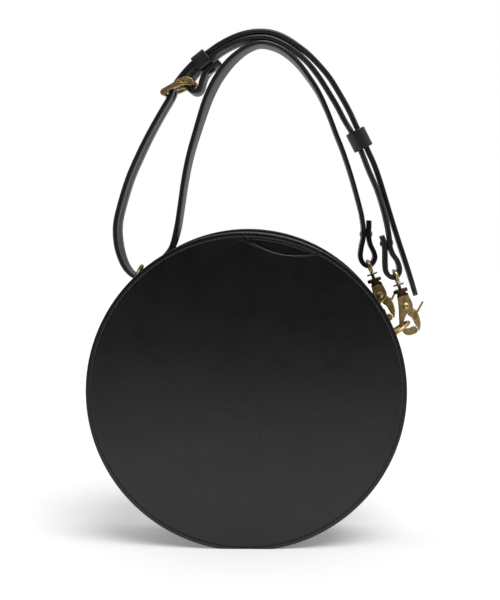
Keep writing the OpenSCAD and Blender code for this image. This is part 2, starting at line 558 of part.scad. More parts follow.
// A plate in the XZ plane with bevelled edges; points run clockwise seen from the front.
module bevel_plate(pts, t, c) let (n = len(pts), r = [for (i = [n - 1 : -1 : 0]) pts[i]], q = inset(r, c))
  polyhedron(concat(at_y(q, -t / 2), at_y(r, -t / 2 + c), at_y(r, t / 2 - c), at_y(q, t / 2)),
    plate_faces(n, 4));
function plate_faces(n, m) = concat([[for (j = [n - 1 : -1 : 0]) j]],
  [[for (j = [0 : n - 1]) (m - 1) * n + j]],
  [for (i = [0 : m - 2]) for (j = [0 : n - 1]) let (k = (j + 1) % n)
    [i * n + j, i * n + k, (i + 1) * n + k, (i + 1) * n + j]]);

module hook_body() color(brass) difference() {
  union() {
    translate([0, hook_t / 2, 0]) rotate([90, 0, 0]) linear_extrude(hook_t)
      polygon(smooth([for (p = body_shares) p * hook_l], 3));
    translate([0, 0, -0.41 * hook_l]) cylinder(r = swivel_r * 2.4, h = 0.06 * hook_l);
    translate([0, 0, -0.355 * hook_l]) cylinder(r = flange_r, h = 0.05 * hook_l);
  }
  at_pivot() {
    bar_y(lobe_r + layer_gap, slot_t);
    bar_y(hook_rivet_r + thin, hook_t + cut_over * 2);
    translate([-lobe_r * 0.1, -slot_t / 2, -lobe_r * 2.1])
      cube([lobe_r * 2.2, slot_t, lobe_r * 2.3]);
  }
  translate([0, 0, -hook_l * 0.415]) cylinder(r = swivel_r + run, h = hook_l * 0.13);
  translate([0, 0, -hook_l * 0.44]) cylinder(r = swivel_r * head_share + run, h = hook_l * 0.038);
}
web_shares = [[-0.1, -0.6], [0.8, -0.1], [1.25, -1.3], [0.6, -1.45]];
lever_shares = [[0, -0.02], [0.02, -0.04], [0.143, 0.088], [0.125, 0.1]];
lever_place = [0.137, -0.668];
module at_pivot() translate([pivot[0] * hook_l, 0, pivot[1] * hook_l]) children();
module hook_gate() color(brass) union() {
  difference() {
    bevel_plate(smooth([for (p = gate_shares) p * hook_l], 3), hook_t * 0.92, hook_t * 0.12);
    at_pivot() bar_y(lobe_r + layer_gap, hook_t * 2);
  }
  difference() {
    union() {
      at_pivot() bar_y(lobe_r * 0.84, root_t);
      at_pivot() translate([0, root_t / 2, 0]) rotate([90, 0, 0]) linear_extrude(root_t)
        polygon([for (p = web_shares) p * lobe_r]);
    }
    at_pivot() bar_y(hook_rivet_r + run, hook_t);
    at_pivot() bar_y(spring_out + layer_gap, root_t + cut_over);
  }
  translate([lever_place[0] * hook_l, lever_w / 2, lever_place[1] * hook_l]) rotate([90, 0, 0])
    linear_extrude(lever_w) polygon([for (p = lever_shares) p * hook_l]);
}
lever_w = 4;
spring_out = 1.9;
module hook_rivet() color(dark_brass) at_pivot() {
  bar_y(hook_rivet_r, hook_t + thin * 2);
  for (s = [-90, 90]) rotate([s, 0, 0]) translate([0, 0, hook_t / 2 + thin])
    dome(hook_rivet_r * 2.3, hook_rivet_r * 0.9);
}
module hook_spring() color(dark_brass) at_pivot() difference() {
  bar_y(spring_out, root_t);
  bar_y(hook_rivet_r + layer_gap, root_t + cut_over);
}
// Bail, washer and swivel post in one piece
bail_corner = bail_r * 2;
bail_drop = strap_t * 2 + bail_r * 1.7;
washer_r = bail_r * 3.3;
washer_t = 0.9;
flange_r = bail_r * 4.2;
module bail_side(z, flip) for (s = [-1, 1]) {
  hw = bail_w / 2 + bail_r;
  start = flip > 0 ? (s > 0 ? 90 : 180) : (s > 0 ? 0 : -90);
  translate([0, s * (hw - bail_corner), z + flip * bail_corner]) rotate([0, -90, 0]) rotate([0, 0, start])
    rotate_extrude(angle = 90) translate([bail_corner, 0]) circle(r = bail_r);
}
module hook_eye() color(brass) {
  hw = bail_w / 2 + bail_r;
  low = -bail_r - bail_drop;
  for (z = [-bail_r, low]) translate([0, 0, z]) bar_y(bail_r, 2 * (hw - bail_corner));
  bail_side(-bail_r, -1);
  bail_side(low, 1);
  for (s = [-1, 1]) translate([0, s * hw, low + bail_corner])
    cylinder(r = bail_r, h = bail_drop - 2 * bail_corner);
  translate([0, 0, low - bail_r - washer_t * 0.6]) cylinder(r = washer_r, h = washer_t);
  translate([0, 0, -0.42 * hook_l]) cylinder(r = swivel_r, h = low + 0.42 * hook_l);
  translate([0, 0, -0.437 * hook_l]) cylinder(r = swivel_r * head_share, h = 0.033 * hook_l);
}
module hook_frame(w, deg, y) bag_place() translate([w[0], y, w[1]]) rotate([0, -deg, 0])
  translate([-seat[0] * hook_l, 0, -seat[1] * hook_l]) children();
tab_place = roll_deg + tab_deg;
function ring_top(deg) = let (a = tab_place - 90 + deg)
  [bar_r * sin(tab_place) + ring_pitch * sin(a), bar_r * cos(tab_place) + ring_pitch * cos(a)];
module front_hook() hook_frame(ring_top(front_ring_deg), front_hook_deg, -hook_y) children();
module rear_hook() hook_frame(ring_top(rear_ring_deg), rear_hook_deg, hook_y) children();
module rear_hook_eye() rear_hook() hook_eye();
module rear_hook_body() rear_hook() hook_body();
module rear_hook_gate() rear_hook() hook_gate();
module rear_hook_rivet() rear_hook() hook_rivet();
module rear_hook_spring() rear_hook() hook_spring();
module front_hook_eye() front_hook() hook_eye();
module front_hook_body() front_hook() hook_body();
module front_hook_gate() front_hook() hook_gate();
module front_hook_rivet() front_hook() hook_rivet();
module front_hook_spring() front_hook() hook_spring();

pocket_panel();
front_panel();
rear_panel();
gusset();
zip_strip_front();
zip_strip_rear();
zip_tape_front();
zip_tape_rear();
zip_teeth_front();
zip_teeth_rear();
zip_stops();
zip_slider();
zip_pull();
lining_front();
lining_rear();
lining_gusset();
left_tab();
right_front_tab();
right_rear_tab();
tab_rivets();
left_ring();
right_front_ring();
right_rear_ring();
long_strap();
short_strap();
fixed_keeper();
sliding_keeper();
buckle_frame();
buckle_prong();
buckle_rivet();
rear_loop_rivet();
front_loop_rivet();
rear_hook_eye();
rear_hook_body();
rear_hook_gate();
rear_hook_rivet();
rear_hook_spring();
front_hook_eye();
front_hook_body();
front_hook_gate();
front_hook_rivet();
front_hook_spring();
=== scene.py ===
import math

import bmesh
import bpy
import numpy as np
from mathutils import Matrix, Vector, noise


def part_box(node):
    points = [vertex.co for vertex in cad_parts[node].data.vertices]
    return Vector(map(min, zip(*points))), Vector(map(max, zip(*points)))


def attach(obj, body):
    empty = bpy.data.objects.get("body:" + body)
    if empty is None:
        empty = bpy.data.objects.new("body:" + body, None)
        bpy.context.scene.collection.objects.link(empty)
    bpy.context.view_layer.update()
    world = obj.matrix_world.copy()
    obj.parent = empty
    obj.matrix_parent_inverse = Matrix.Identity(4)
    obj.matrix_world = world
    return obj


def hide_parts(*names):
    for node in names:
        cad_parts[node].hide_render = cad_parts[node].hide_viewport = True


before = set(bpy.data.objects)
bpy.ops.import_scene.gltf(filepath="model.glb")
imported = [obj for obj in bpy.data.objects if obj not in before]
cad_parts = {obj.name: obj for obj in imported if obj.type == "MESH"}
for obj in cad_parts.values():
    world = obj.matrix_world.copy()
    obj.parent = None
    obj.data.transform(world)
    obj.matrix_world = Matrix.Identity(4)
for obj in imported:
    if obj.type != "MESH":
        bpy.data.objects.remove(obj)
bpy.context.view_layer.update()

# Sizes are in metres and angles in degrees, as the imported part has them. Angles of place run clockwise from
# the top, as seen from the front, and start at ROLL, the turn of the whole bag.
MM = 0.001
ROLL = 10.4

# Body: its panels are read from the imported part, the rest of its sizes are the source's
_, front_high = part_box("front_panel")
panel_low, panel_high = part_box("rear_panel")
pocket_low, pocket_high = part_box("pocket_panel")
BAG_R = (panel_high.x - panel_low.x) / 2
BAG = Vector(((panel_high.x + panel_low.x) / 2, 0.0, panel_high.z - BAG_R))
FRONT_Y = pocket_low.y
POCKET_T = pocket_high.y - pocket_low.y
PANEL_T = panel_high.y - panel_low.y
GUSSET_T = 2.0 * MM
RIM_W = 7.0 * MM
WALL_R = BAG_R - RIM_W
FLANGE_FROM = WALL_R + 0.1 * MM
INNER_R = WALL_R - GUSSET_T
INSIDE_FRONT = front_high.y
INSIDE_REAR = panel_low.y
FLOOR_Z = 0.0

# The leather's softness: rounded edges, slow waves, and how many waves there are in a metre
PANEL_CORNER = 0.75 * MM
WALL_CORNER = 0.7 * MM
CROWN_RISE = 0.45 * MM
CROWN_R = BAG_R * 0.93
PANEL_WAVER, PANEL_WAVES = 0.16 * MM, 16
PANEL_FLAT_RIM = 8 * MM
GUSSET_SAG = 0.5 * MM
GUSSET_WAVER, GUSSET_WAVES, GUSSET_TURN = 0.12 * MM, 40, 9
STRAP_WAVER, STRAP_WAVES = 0.05 * MM, 90

# Rings of a panel's mesh, as insets from the rim in mm: close together over the seam, and wider further in.
# Where the pocket's cut runs through the seam, at the slit's ends, the panel's edge is sharper.
PANEL_TURNS = 480
SEAM_RINGS = [0.9 + 0.3 * k for k in range(31)]
MIDDLE_RINGS = [11.5, 14.0, 22.0, 32.0, 44.0, 56.0, 68.0, 80.0, 90.0, 98.0, 104.0]
CUT_FROM = 0.3 * MM
CUT_SHARPNESS = 0.9
WALL_STEP = 4 * MM

# The pocket's slit is an arc about a point above the rim. Beside the sewn rim, the front panel fills it.
NOTCH_DEPTH = 12.0 * MM
NOTCH_R = 50.0 * MM
NOTCH_DEG = 2.6
SEAM_W = 5.0 * MM
SEAM_FADE = 2.0 * MM
PAD_END = (SEAM_W - 0.05 * MM, SEAM_W + 0.1 * MM)
PAD_ENDS_DEG = (15.5, 17.5)
PAD_GAP = 0.04 * MM

# The crease beside the slit: two parabolas in axes turned by FOLD_DEG
FOLD_DEG = 12.2
FOLD_MIDDLE = 6.0 * MM
FOLD_BEND = (200 * MM, 55 * MM)
FOLD_FADE = (24 * MM, 32 * MM)
FOLD_DEEP = 0.2 * MM
FOLD_HALF_W = 0.5 * MM

# Sewing
STITCH_IN = 3.3 * MM
STITCH_PITCH = 3.0 * MM
STITCH_L = STITCH_PITCH * 0.8
STITCH_LEAN = 9
PANEL_LIFT = 0.02 * MM
FLANGE_LIFT = 0.05 * MM
RIM_THREAD_R = 0.36 * MM
ZIP_THREAD_R = 0.32 * MM
GROOVE_DEEP = 0.22 * MM
GROOVE_HALF_W = 0.42 * MM
GROOVE_END = 0.5 * MM

# Zip, tabs and rings. A tab's lower layer ends and its upper layer starts a little before the ring's bar, and
# between them it wraps the bar.
ZIP_HALF_DEG = 44.0
ZIP_HALF_W = 7.0 * MM
ZIP_STITCH_IN = 2.2 * MM
HOOK_Y = 16.0 * MM
TAB_DEG = 58.6
TAB_LONG_DEG = 12.0
TAB_T = 1.5 * MM
TAB_W = 14.0 * MM
TAB_GAP = 0.05 * MM
RING_WIRE_R = 1.3 * MM
RING_ROOM = 0.3 * MM
BAR_LIFT = 1.75 * MM
BAR_R = WALL_R + TAB_GAP + 2 * TAB_T + BAR_LIFT
UNDER_FROM_DEG, OVER_FROM_DEG = TAB_DEG + 1.5, TAB_DEG + 3.4
WRAP_FROM_DEG, WRAP_DEG = 255, 240
TABS = (("left_tab", -1, 0.0), ("right_front_tab", 1, -HOOK_Y), ("right_rear_tab", 1, HOOK_Y))

# Strap, keepers and buckle. The edge line of the strap is three rows, as distances from its edge.
STRAP_W = 15.0 * MM
STRAP_T = 3.2 * MM
STRAP_CORNER = 1.1 * MM
EDGE_LINE = (1.7 * MM, 2.0 * MM, 2.3 * MM)
EDGE_LINE_DEEP = 0.14 * MM
TIP_FROM, TIP_LONG, TIP_BLUNT = 0.985, 0.0152, 0.06
KEEPER_T = 1.6 * MM
KEEPER_STEP = 1.2 * MM
STRAP_DEG = 49.3
BAR_SHARE = (0.3366, 1.9196)
BUCKLE_TILT = 10.0
PRONG_SLOT = (14 * MM, 3.4 * MM)
PRONG_SLOT_PLACE = (-10.5 * MM, 0, 8.6 * MM)
PRONG_SLOT_TURN = -6
FOLD_SLOT = (STRAP_T * 2.9, 3.9 * MM)
FOLD_SLOT_PLACE = (-STRAP_T * 0.45, 0, STRAP_T * 0.35)
SLOT_DEPTH = STRAP_T * 2.6
FIXED_PLACE, FIXED_TURN = (0.149 * BAG_R, 0, 0.0536 * BAG_R), 11
FIXED_W, FIXED_CORNER = 10.9 * MM, 2.2 * MM
FIXED_INSIDE = (STRAP_W + 1.2 * MM, STRAP_T * 2 + 1.95 * MM)
SLIDING_PLACE, SLIDING_TURN = (0.7095 * BAG_R, -0.25 * HOOK_Y, 1.5745 * BAG_R), 63.1
SLIDING_W, SLIDING_CORNER = 13.9 * MM, 4.8 * MM
SLIDING_INSIDE = (STRAP_W + 3.4 * MM, STRAP_T * 2 + 3.8 * MM)

# Hooks: how far each leans, and the stretches of its eye and body, down from its top, that are coloured
# darker
HOOK_SLANTS = (("rear", 19.8), ("front", 17.4))
HOOK_TOP_IN = 1.2 * MM
EYE_DARK = (10.6 * MM, 22 * MM)
BODY_DARK = (10 * MM, 19 * MM)

# Finish of metal: (voxel, smoothing passes) of cast pieces, and the bevel of stamped ones
FRAME_CAST = (0.2 * MM, 5)
HOOK_CAST = (0.22 * MM, 4)
GATE_CAST = (0.18 * MM, 2)
EYE_CAST = (0.2 * MM, 2)
ZIP_BEVEL = 0.18 * MM
CREASE_FROM_DEG = 35
BEVEL_SMOOTH_DEG = 50

# Marks in the surfaces: the lengths of blotches of colour, of wear and of height, and scratches that lean
PATCH_L, WEAR_L, DENT_L = 42 * MM, 16 * MM, 9 * MM
SCRATCH_W, SCRATCH_STRETCH, SCRATCH_TURN = 1.6 * MM, 0.035, -47
AGE_L, DULL_L, CAST_L = 2.6 * MM, 2.2 * MM, 0.9 * MM
DARK_FADE = 2 * MM

# Colours, in linear light
LEATHER_DARK, LEATHER_LIGHT = (0.003, 0.0028, 0.0035), (0.0055, 0.005, 0.006)
SIDE_DARK, SIDE_LIGHT = (0.0055, 0.005, 0.0058), (0.01, 0.0092, 0.01)
STRAP_DARK, STRAP_LIGHT = (0.0095, 0.0092, 0.0115), (0.019, 0.0186, 0.0222)
INSIDE_DARK, INSIDE_LIGHT = (0.04, 0.04, 0.042), (0.065, 0.065, 0.067)
EDGE_DARK, EDGE_LIGHT = (0.0065, 0.0065, 0.0085), (0.012, 0.012, 0.0145)
THREAD_DARK, THREAD_LIGHT = (0.012, 0.011, 0.012), (0.03, 0.028, 0.03)
ZIP_DARK, ZIP_LIGHT = (0.006, 0.006, 0.007), (0.028, 0.028, 0.03)
LINING_DARK, LINING_LIGHT = (0.045, 0.037, 0.03), (0.11, 0.092, 0.075)
BRASS = ((0.16, 0.1, 0.042), (0.56, 0.39, 0.17), (0.92, 0.74, 0.44))
PALE_BRASS = ((0.3, 0.24, 0.1), (0.7, 0.6, 0.3), (0.95, 0.86, 0.52))
DARK_BRASS = ((0.045, 0.03, 0.016), (0.16, 0.105, 0.05), (0.5, 0.36, 0.18))
BLACK, WHITE = (0, 0, 0), (1, 1, 1)

# Floor, light and camera
FLOOR_FAR, FLOOR_NEAR = 3.2, -0.72
FLOOR_COLOR = (0.93, 0.935, 0.93, 1)
FLOOR_GLOW = 0.19
SKY_FROM, SKY_TO = -0.8, -0.3
SKY_DIM, SKY_BRIGHT = 0.02, 0.62
SUN_FROM = Vector((0.22, -0.6, 0.9))
SUN_STRENGTH = 1.85
SUN_WIDTH = 38
CAMERA_PLACE = Vector((24.4, -1029.8, 141.0)) * MM
CAMERA_DOWN = 4.45
CAMERA_TURN = 1.25
CAMERA_LENS = 87.84
CAMERA_SENSOR = 36


# Helpers for meshes

def to_world(points):
    """Points about the bag's middle, in the row frame."""
    return np.asarray(points, float) + np.array(BAG)


def polar(degrees):
    """Outward and clockwise directions at an angle of place."""
    a = math.radians(degrees)
    return np.array((math.sin(a), 0, math.cos(a))), np.array((math.cos(a), 0, -math.sin(a)))


def add_mesh(name, verts, faces, material, body="bag", face_slots=None, extra=()):
    """A piece of its own. face_slots gives each face's material: 0 is material and 1 on are in extra."""
    mesh = bpy.data.meshes.new(name)
    mesh.from_pydata([tuple(v) for v in verts], [], faces)
    mesh.validate()
    bm = bmesh.new()
    bm.from_mesh(mesh)
    bmesh.ops.recalc_face_normals(bm, faces=bm.faces)
    bm.to_mesh(mesh)
    bm.free()
    obj = bpy.data.objects.new(name, mesh)
    bpy.context.scene.collection.objects.link(obj)
    mesh.materials.append(material)
    for other in extra:
        mesh.materials.append(other)
    for i, poly in enumerate(mesh.polygons):
        poly.use_smooth = True
        if face_slots:
            poly.material_index = face_slots[i]
    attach(obj, body)
    return obj


def smooth_by_angle(obj, degrees):
    """Flat across sharp edges and smooth elsewhere."""
    mesh = obj.data
    for poly in mesh.polygons:
        poly.use_smooth = True
    bm = bmesh.new()
    bm.from_mesh(mesh)
    limit = math.radians(degrees)
    for edge in bm.edges:
        edge.smooth = len(edge.link_faces) == 2 and edge.calc_face_angle(0) < limit
    bm.to_mesh(mesh)
    bm.free()


def quad_rows(rows, count, base=0):
    """Faces between rows of vertices that each run round a loop of count."""
    faces = []
    for i in range(rows - 1):
        low, high = base + i * count, base + (i + 1) * count
        for k in range(count):
            j = (k + 1) % count
            faces.append((low + k, low + j, high + j, high + k))
    return faces


def round_plate(t, corner):
    """A plate's rounded edge, from its front face to its rear face: (inset from the rim, depth)."""
    steps, out = 4, []
    for k in range(steps + 1):
        a = math.pi / 2 * k / steps
        out.append((corner * (1 - math.sin(a)), corner * (1 - math.cos(a))))
    return out + [(inset, t - depth) for inset, depth in reversed(out)]


# Materials

def new_material(name):
    material = bpy.data.materials.new(name)
    material.use_nodes = True
    tree = material.node_tree
    return material, tree, tree.nodes["Principled BSDF"]


def node(tree, kind, **settings):
    """A new node. Each setting is the value of an input, or else a property."""
    n = tree.nodes.new(kind)
    for key, value in settings.items():
        if key in n.inputs:
            n.inputs[key].default_value = value
        else:
            setattr(n, key, value)
    return n


def object_coordinates(tree, scale=(1, 1, 1), turn=(0, 0, 0)):
    coordinates = node(tree, "ShaderNodeTexCoord")
    mapping = node(tree, "ShaderNodeMapping", Scale=scale, Rotation=turn)
    tree.links.new(coordinates.outputs["Object"], mapping.inputs["Vector"])
    return mapping.outputs["Vector"]


def ramp(tree, source, stops):
    """Colours at places from 0 to 1 of a value."""
    n = node(tree, "ShaderNodeValToRGB")
    while len(n.color_ramp.elements) < len(stops):
        n.color_ramp.elements.new(0.5)
    for element, (place, color) in zip(n.color_ramp.elements, stops):
        element.position = place
        element.color = (*color, 1)
    tree.links.new(source, n.inputs["Fac"])
    return n.outputs["Color"]


def spread(tree, source, low, high):
    """A value of 0 to 1 spread from low to high."""
    n = node(tree, "ShaderNodeMapRange")
    n.inputs["To Min"].default_value = low
    n.inputs["To Max"].default_value = high
    tree.links.new(source, n.inputs["Value"])
    return n.outputs["Result"]


def bumps(tree, shader, *layers):
    """Chains bump layers of (height output, distance in metres, strength)."""
    last = None
    for height, distance, strength in layers:
        n = node(tree, "ShaderNodeBump", Strength=strength, Distance=distance)
        tree.links.new(height, n.inputs["Height"])
        if last is not None:
            tree.links.new(last, n.inputs["Normal"])
        last = n.outputs["Normal"]
    tree.links.new(last, shader.inputs["Normal"])


def grain_height(tree, vector, size):
    """Fine leather grain: small rounded cells with soft valleys."""
    cells = node(tree, "ShaderNodeTexVoronoi", feature="SMOOTH_F1", Scale=1 / size, Smoothness=0.6,
                 Randomness=1.0)
    tree.links.new(vector, cells.inputs["Vector"])
    return cells.outputs["Distance"]


def cloud(tree, vector, size, detail=3.0, rough=0.55):
    """Uneven blotches of about a size."""
    n = node(tree, "ShaderNodeTexNoise", Scale=1 / size, Detail=detail, Roughness=rough)
    tree.links.new(vector, n.inputs["Vector"])
    return n.outputs["Fac"]


def leather(name, dark, light, rough, grain=0.9 * MM, grain_depth=0.06 * MM, shine=0.5, scratches=False):
    """Leather with grain, uneven wear and, on the face, long faint scratches."""
    material, tree, shader = new_material(name)
    place = object_coordinates(tree)
    patches = cloud(tree, place, PATCH_L, 4.0)
    color = ramp(tree, patches, [(0.3, dark), (0.72, light)])
    tree.links.new(color, shader.inputs["Base Color"])
    wear = cloud(tree, place, WEAR_L, 5.0, 0.6)
    tree.links.new(spread(tree, wear, rough - 0.07, rough + 0.07), shader.inputs["Roughness"])
    shader.inputs["Specular IOR Level"].default_value = shine
    layers = [(grain_height(tree, place, grain), grain_depth, 0.35),
              (cloud(tree, place, DENT_L), 0.25 * MM, 0.25)]
    if scratches:
        long_way = object_coordinates(tree, (1, 1, SCRATCH_STRETCH), (0, math.radians(SCRATCH_TURN), 0))
        lines = cloud(tree, long_way, SCRATCH_W, 2.0, 0.5)
        marks = ramp(tree, lines, [(0.66, BLACK), (0.74, WHITE)])
        layers.append((marks, 0.06 * MM, 0.5))
    bumps(tree, shader, *layers)
    return material


def thread_material():
    material, tree, shader = new_material("waxed_thread")
    place = object_coordinates(tree)
    color = ramp(tree, cloud(tree, place, 3 * MM), [(0.3, THREAD_DARK), (0.7, THREAD_LIGHT)])
    tree.links.new(color, shader.inputs["Base Color"])
    shader.inputs["Roughness"].default_value = 0.38
    bumps(tree, shader, (cloud(tree, place, 0.35 * MM), 0.1 * MM, 0.4))
    return material


def brass_material(name, deep, middle, bright, rough, dark_along=None):
    """Aged brass: gold where it is rubbed, brown in hollows and blotches. dark_along is (top, direction,
    from, to): a stretch, measured from top along direction, that is coloured darker."""
    material, tree, shader = new_material(name)
    place = object_coordinates(tree)
    shader.inputs["Metallic"].default_value = 1.0
    age = cloud(tree, place, AGE_L, 5.0, 0.62)
    geometry = node(tree, "ShaderNodeNewGeometry")
    worn = spread(tree, geometry.outputs["Pointiness"], -0.9, 1.9)
    both = node(tree, "ShaderNodeMath", operation="ADD")
    tree.links.new(age, both.inputs[0])
    tree.links.new(worn, both.inputs[1])
    half = node(tree, "ShaderNodeMath", operation="MULTIPLY")
    half.inputs[1].default_value = 0.5
    tree.links.new(both.outputs[0], half.inputs[0])
    color = ramp(tree, half.outputs[0], [(0.34, deep), (0.5, middle), (0.68, bright)])
    if dark_along:
        top, direction, start, end = dark_along
        offset = node(tree, "ShaderNodeVectorMath", operation="SUBTRACT")
        tree.links.new(place, offset.inputs[0])
        offset.inputs[1].default_value = top
        depth = node(tree, "ShaderNodeVectorMath", operation="DOT_PRODUCT")
        tree.links.new(offset.outputs["Vector"], depth.inputs[0])
        depth.inputs[1].default_value = direction
        share = node(tree, "ShaderNodeMapRange")
        share.inputs["From Min"].default_value = start - DARK_FADE
        share.inputs["From Max"].default_value = end + DARK_FADE
        tree.links.new(depth.outputs["Value"], share.inputs["Value"])
        edge = DARK_FADE / (end - start + 2 * DARK_FADE)
        band = ramp(tree, share.outputs["Result"], [(edge * 0.6, BLACK), (edge, WHITE),
                                                    (1 - edge, WHITE), (1 - edge * 0.6, BLACK)])
        mix = node(tree, "ShaderNodeMix", data_type="RGBA")
        tree.links.new(band, mix.inputs[0])
        tree.links.new(color, mix.inputs[6])
        mix.inputs[7].default_value = (*[c * 0.6 for c in deep], 1)
        color = mix.outputs[2]
    tree.links.new(color, shader.inputs["Base Color"])
    dull = cloud(tree, place, DULL_L, 4.0)
    tree.links.new(spread(tree, dull, rough - 0.08, rough + 0.1), shader.inputs["Roughness"])
    bumps(tree, shader, (cloud(tree, place, CAST_L, 3.0), 0.1 * MM, 0.2))
    return material


def woven_material(name, dark, light, pitch):
    """Plain cloth: bands in the three directions make the weave."""
    material, tree, shader = new_material(name)
    place = object_coordinates(tree)
    heights = []
    for direction in ("X", "Y", "Z"):
        wave = node(tree, "ShaderNodeTexWave", wave_type="BANDS", bands_direction=direction,
                    Scale=1 / pitch / 3.0, Distortion=0.6)
        tree.links.new(place, wave.inputs["Vector"])
        heights.append(wave.outputs["Fac"])
    mix = node(tree, "ShaderNodeMath", operation="MULTIPLY")
    tree.links.new(heights[0], mix.inputs[0])
    tree.links.new(heights[1], mix.inputs[1])
    both = node(tree, "ShaderNodeMath", operation="ADD")
    tree.links.new(mix.outputs[0], both.inputs[0])
    tree.links.new(heights[2], both.inputs[1])
    color = ramp(tree, both.outputs[0], [(0.1, dark), (0.9, light)])
    tree.links.new(color, shader.inputs["Base Color"])
    shader.inputs["Roughness"].default_value = 0.85
    shader.inputs["Sheen Weight"].default_value = 0.15
    bumps(tree, shader, (both.outputs[0], 0.15 * MM, 0.5))
    return material


black_leather = leather("black_leather", LEATHER_DARK, LEATHER_LIGHT, 0.29, shine=0.6, scratches=True)
side_leather = leather("side_leather", SIDE_DARK, SIDE_LIGHT, 0.42)
strap_leather = leather("strap_leather", STRAP_DARK, STRAP_LIGHT, 0.4, 0.7 * MM)
strap_inside = leather("strap_inside", INSIDE_DARK, INSIDE_LIGHT, 0.6, 0.5 * MM, 0.05 * MM)
edge_paint = leather("edge_paint", EDGE_DARK, EDGE_LIGHT, 0.36, 2.5 * MM, 0.04 * MM)
thread = thread_material()
brass = brass_material("antique_brass", *BRASS, 0.38)
dark_brass = brass_material("dark_brass", *DARK_BRASS, 0.34)
zip_cloth = woven_material("zip_cloth", ZIP_DARK, ZIP_LIGHT, 0.5 * MM)
lining_cloth = woven_material("lining_cloth", LINING_DARK, LINING_LIGHT, 0.6 * MM)
STRAP_MATERIALS = (strap_leather, strap_inside, edge_paint)
TAB_MATERIALS = (side_leather, strap_inside, edge_paint)


# Body panels

def crown(r):
    """How far a stretched panel stands out of its rim plane at a radius."""
    return CROWN_RISE * max(0.0, 1 - (r / CROWN_R) ** 2)


def waver(x, z, seed):
    """The slow unevenness of stiff leather."""
    return PANEL_WAVER * noise.noise(Vector((x * PANEL_WAVES, seed, z * PANEL_WAVES)))


def smoothstep(low, high, x):
    """0 up to low, 1 from high, and a soft step between."""
    u = min(1.0, max(0.0, (x - low) / (high - low)))
    return u * u * (3 - 2 * u)


def round_reach(theta):
    """The rim's radius, which is the same at every angle."""
    return BAG_R


def notch_reach(theta):
    """Distance from the bag's middle to the pocket's cut edge, or the rim radius away from it. theta is the
    angle off the cut's middle."""
    centre = BAG_R - NOTCH_DEPTH + NOTCH_R
    square = NOTCH_R ** 2 - (centre * math.sin(theta)) ** 2
    if math.cos(theta) <= 0 or square <= 0:
        return BAG_R
    return min(BAG_R, centre * math.cos(theta) - math.sqrt(square))


def fold_depth(x, z):
    """Depth of the crease beside the pocket's slit, at a place across and up from the bag's middle."""
    turn = math.radians(FOLD_DEG)
    u = x * math.cos(turn) - z * math.sin(turn)
    v = x * math.sin(turn) + z * math.cos(turn)
    bend = FOLD_BEND[0] if u < FOLD_MIDDLE else FOLD_BEND[1]
    line = BAG_R - NOTCH_DEPTH + (u - FOLD_MIDDLE) ** 2 / (2 * bend)
    fade = 1 - smoothstep(*FOLD_FADE, abs(u))
    return FOLD_DEEP * fade * math.exp(-((v - line) / FOLD_HALF_W) ** 2)


def groove_depth(r):
    """Depth of the line that the rim's stitches pull into a panel."""
    return GROOVE_DEEP * math.exp(-((BAG_R - r - STITCH_IN) / GROOVE_HALF_W) ** 2)


def panel(name, front, rear, reach, seed, outward=-1, pocket=False, padded=False):
    """A round leather panel, lofted in rings from the middle of its front face over its rim to the middle of
    its rear face. reach gives the outline's radius at an angle. outward is -1 where the face to be seen is
    the front one. A padded panel stands forward beside the rim, in the pocket's slit."""
    t = rear - front
    front_rings = [(inset * MM, 0.0) for inset in reversed(SEAM_RINGS + MIDDLE_RINGS)]
    edge_rings = round_plate(t, min(PANEL_CORNER, t * 0.48))
    rear_rings = [(inset * MM, t) for inset in SEAM_RINGS[::5] + MIDDLE_RINGS]
    rings = front_rings + edge_rings + rear_rings
    verts = []
    for index, (inset, depth) in enumerate(rings):
        on_front = index < len(front_rings)
        on_rear = index >= len(rings) - len(rear_rings)
        on_face = on_front if outward < 0 else on_rear
        for k in range(PANEL_TURNS):
            place = 2 * math.pi * k / PANEL_TURNS
            theta = (place - math.radians(ROLL + NOTCH_DEG) + math.pi) % (2 * math.pi) - math.pi
            rim = reach(theta)
            cut_in = BAG_R - rim
            soft = 1.0
            if not (on_front or on_rear):
                beside_seam = 1 - smoothstep(SEAM_W, SEAM_W + SEAM_FADE, cut_in)
                soft = 1 - CUT_SHARPNESS * smoothstep(0, CUT_FROM, cut_in) * beside_seam
            r = rim - inset * soft * (rim / BAG_R)
            x, z = r * math.sin(place), r * math.cos(place)
            y = front + depth
            if on_front or on_rear:
                y += outward * (crown(r) + waver(x, z, seed) * min(1.0, inset / PANEL_FLAT_RIM))
            if on_face and (not pocket or cut_in < GROOVE_END):
                y -= outward * groove_depth(r)
            if on_face and pocket:
                y -= outward * fold_depth(x, z)
            if padded:
                fill = 1 - smoothstep(*PAD_END, BAG_R - r)
                fill *= 1 - smoothstep(*(math.radians(a) for a in PAD_ENDS_DEG), abs(theta))
                y -= fill * (POCKET_T - PAD_GAP) * (1 - depth / t)
            verts.append((x, y, max(z, FLOOR_Z - BAG.z)))
    faces = quad_rows(len(rings), PANEL_TURNS)
    for ring, y in ((0, front), (len(rings) - 1, rear)):
        verts.append((0.0, y + outward * crown(0.0), 0.0))
        centre, base = len(verts) - 1, ring * PANEL_TURNS
        faces += [(centre, base + k, base + (k + 1) % PANEL_TURNS) for k in range(PANEL_TURNS)]
    return add_mesh(name, to_world(verts), faces, black_leather)


def build_panels():
    pocket = panel("pocket_leather", FRONT_Y, FRONT_Y + POCKET_T, notch_reach, 1.0, pocket=True)
    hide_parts("pocket_panel")
    front = panel("front_leather", FRONT_Y + POCKET_T, INSIDE_FRONT, round_reach, 1.0, padded=True)
    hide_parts("front_panel")
    rear = panel("rear_leather", INSIDE_REAR, INSIDE_REAR + PANEL_T, round_reach, 7.0, outward=1)
    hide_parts("rear_panel")


# Stitches

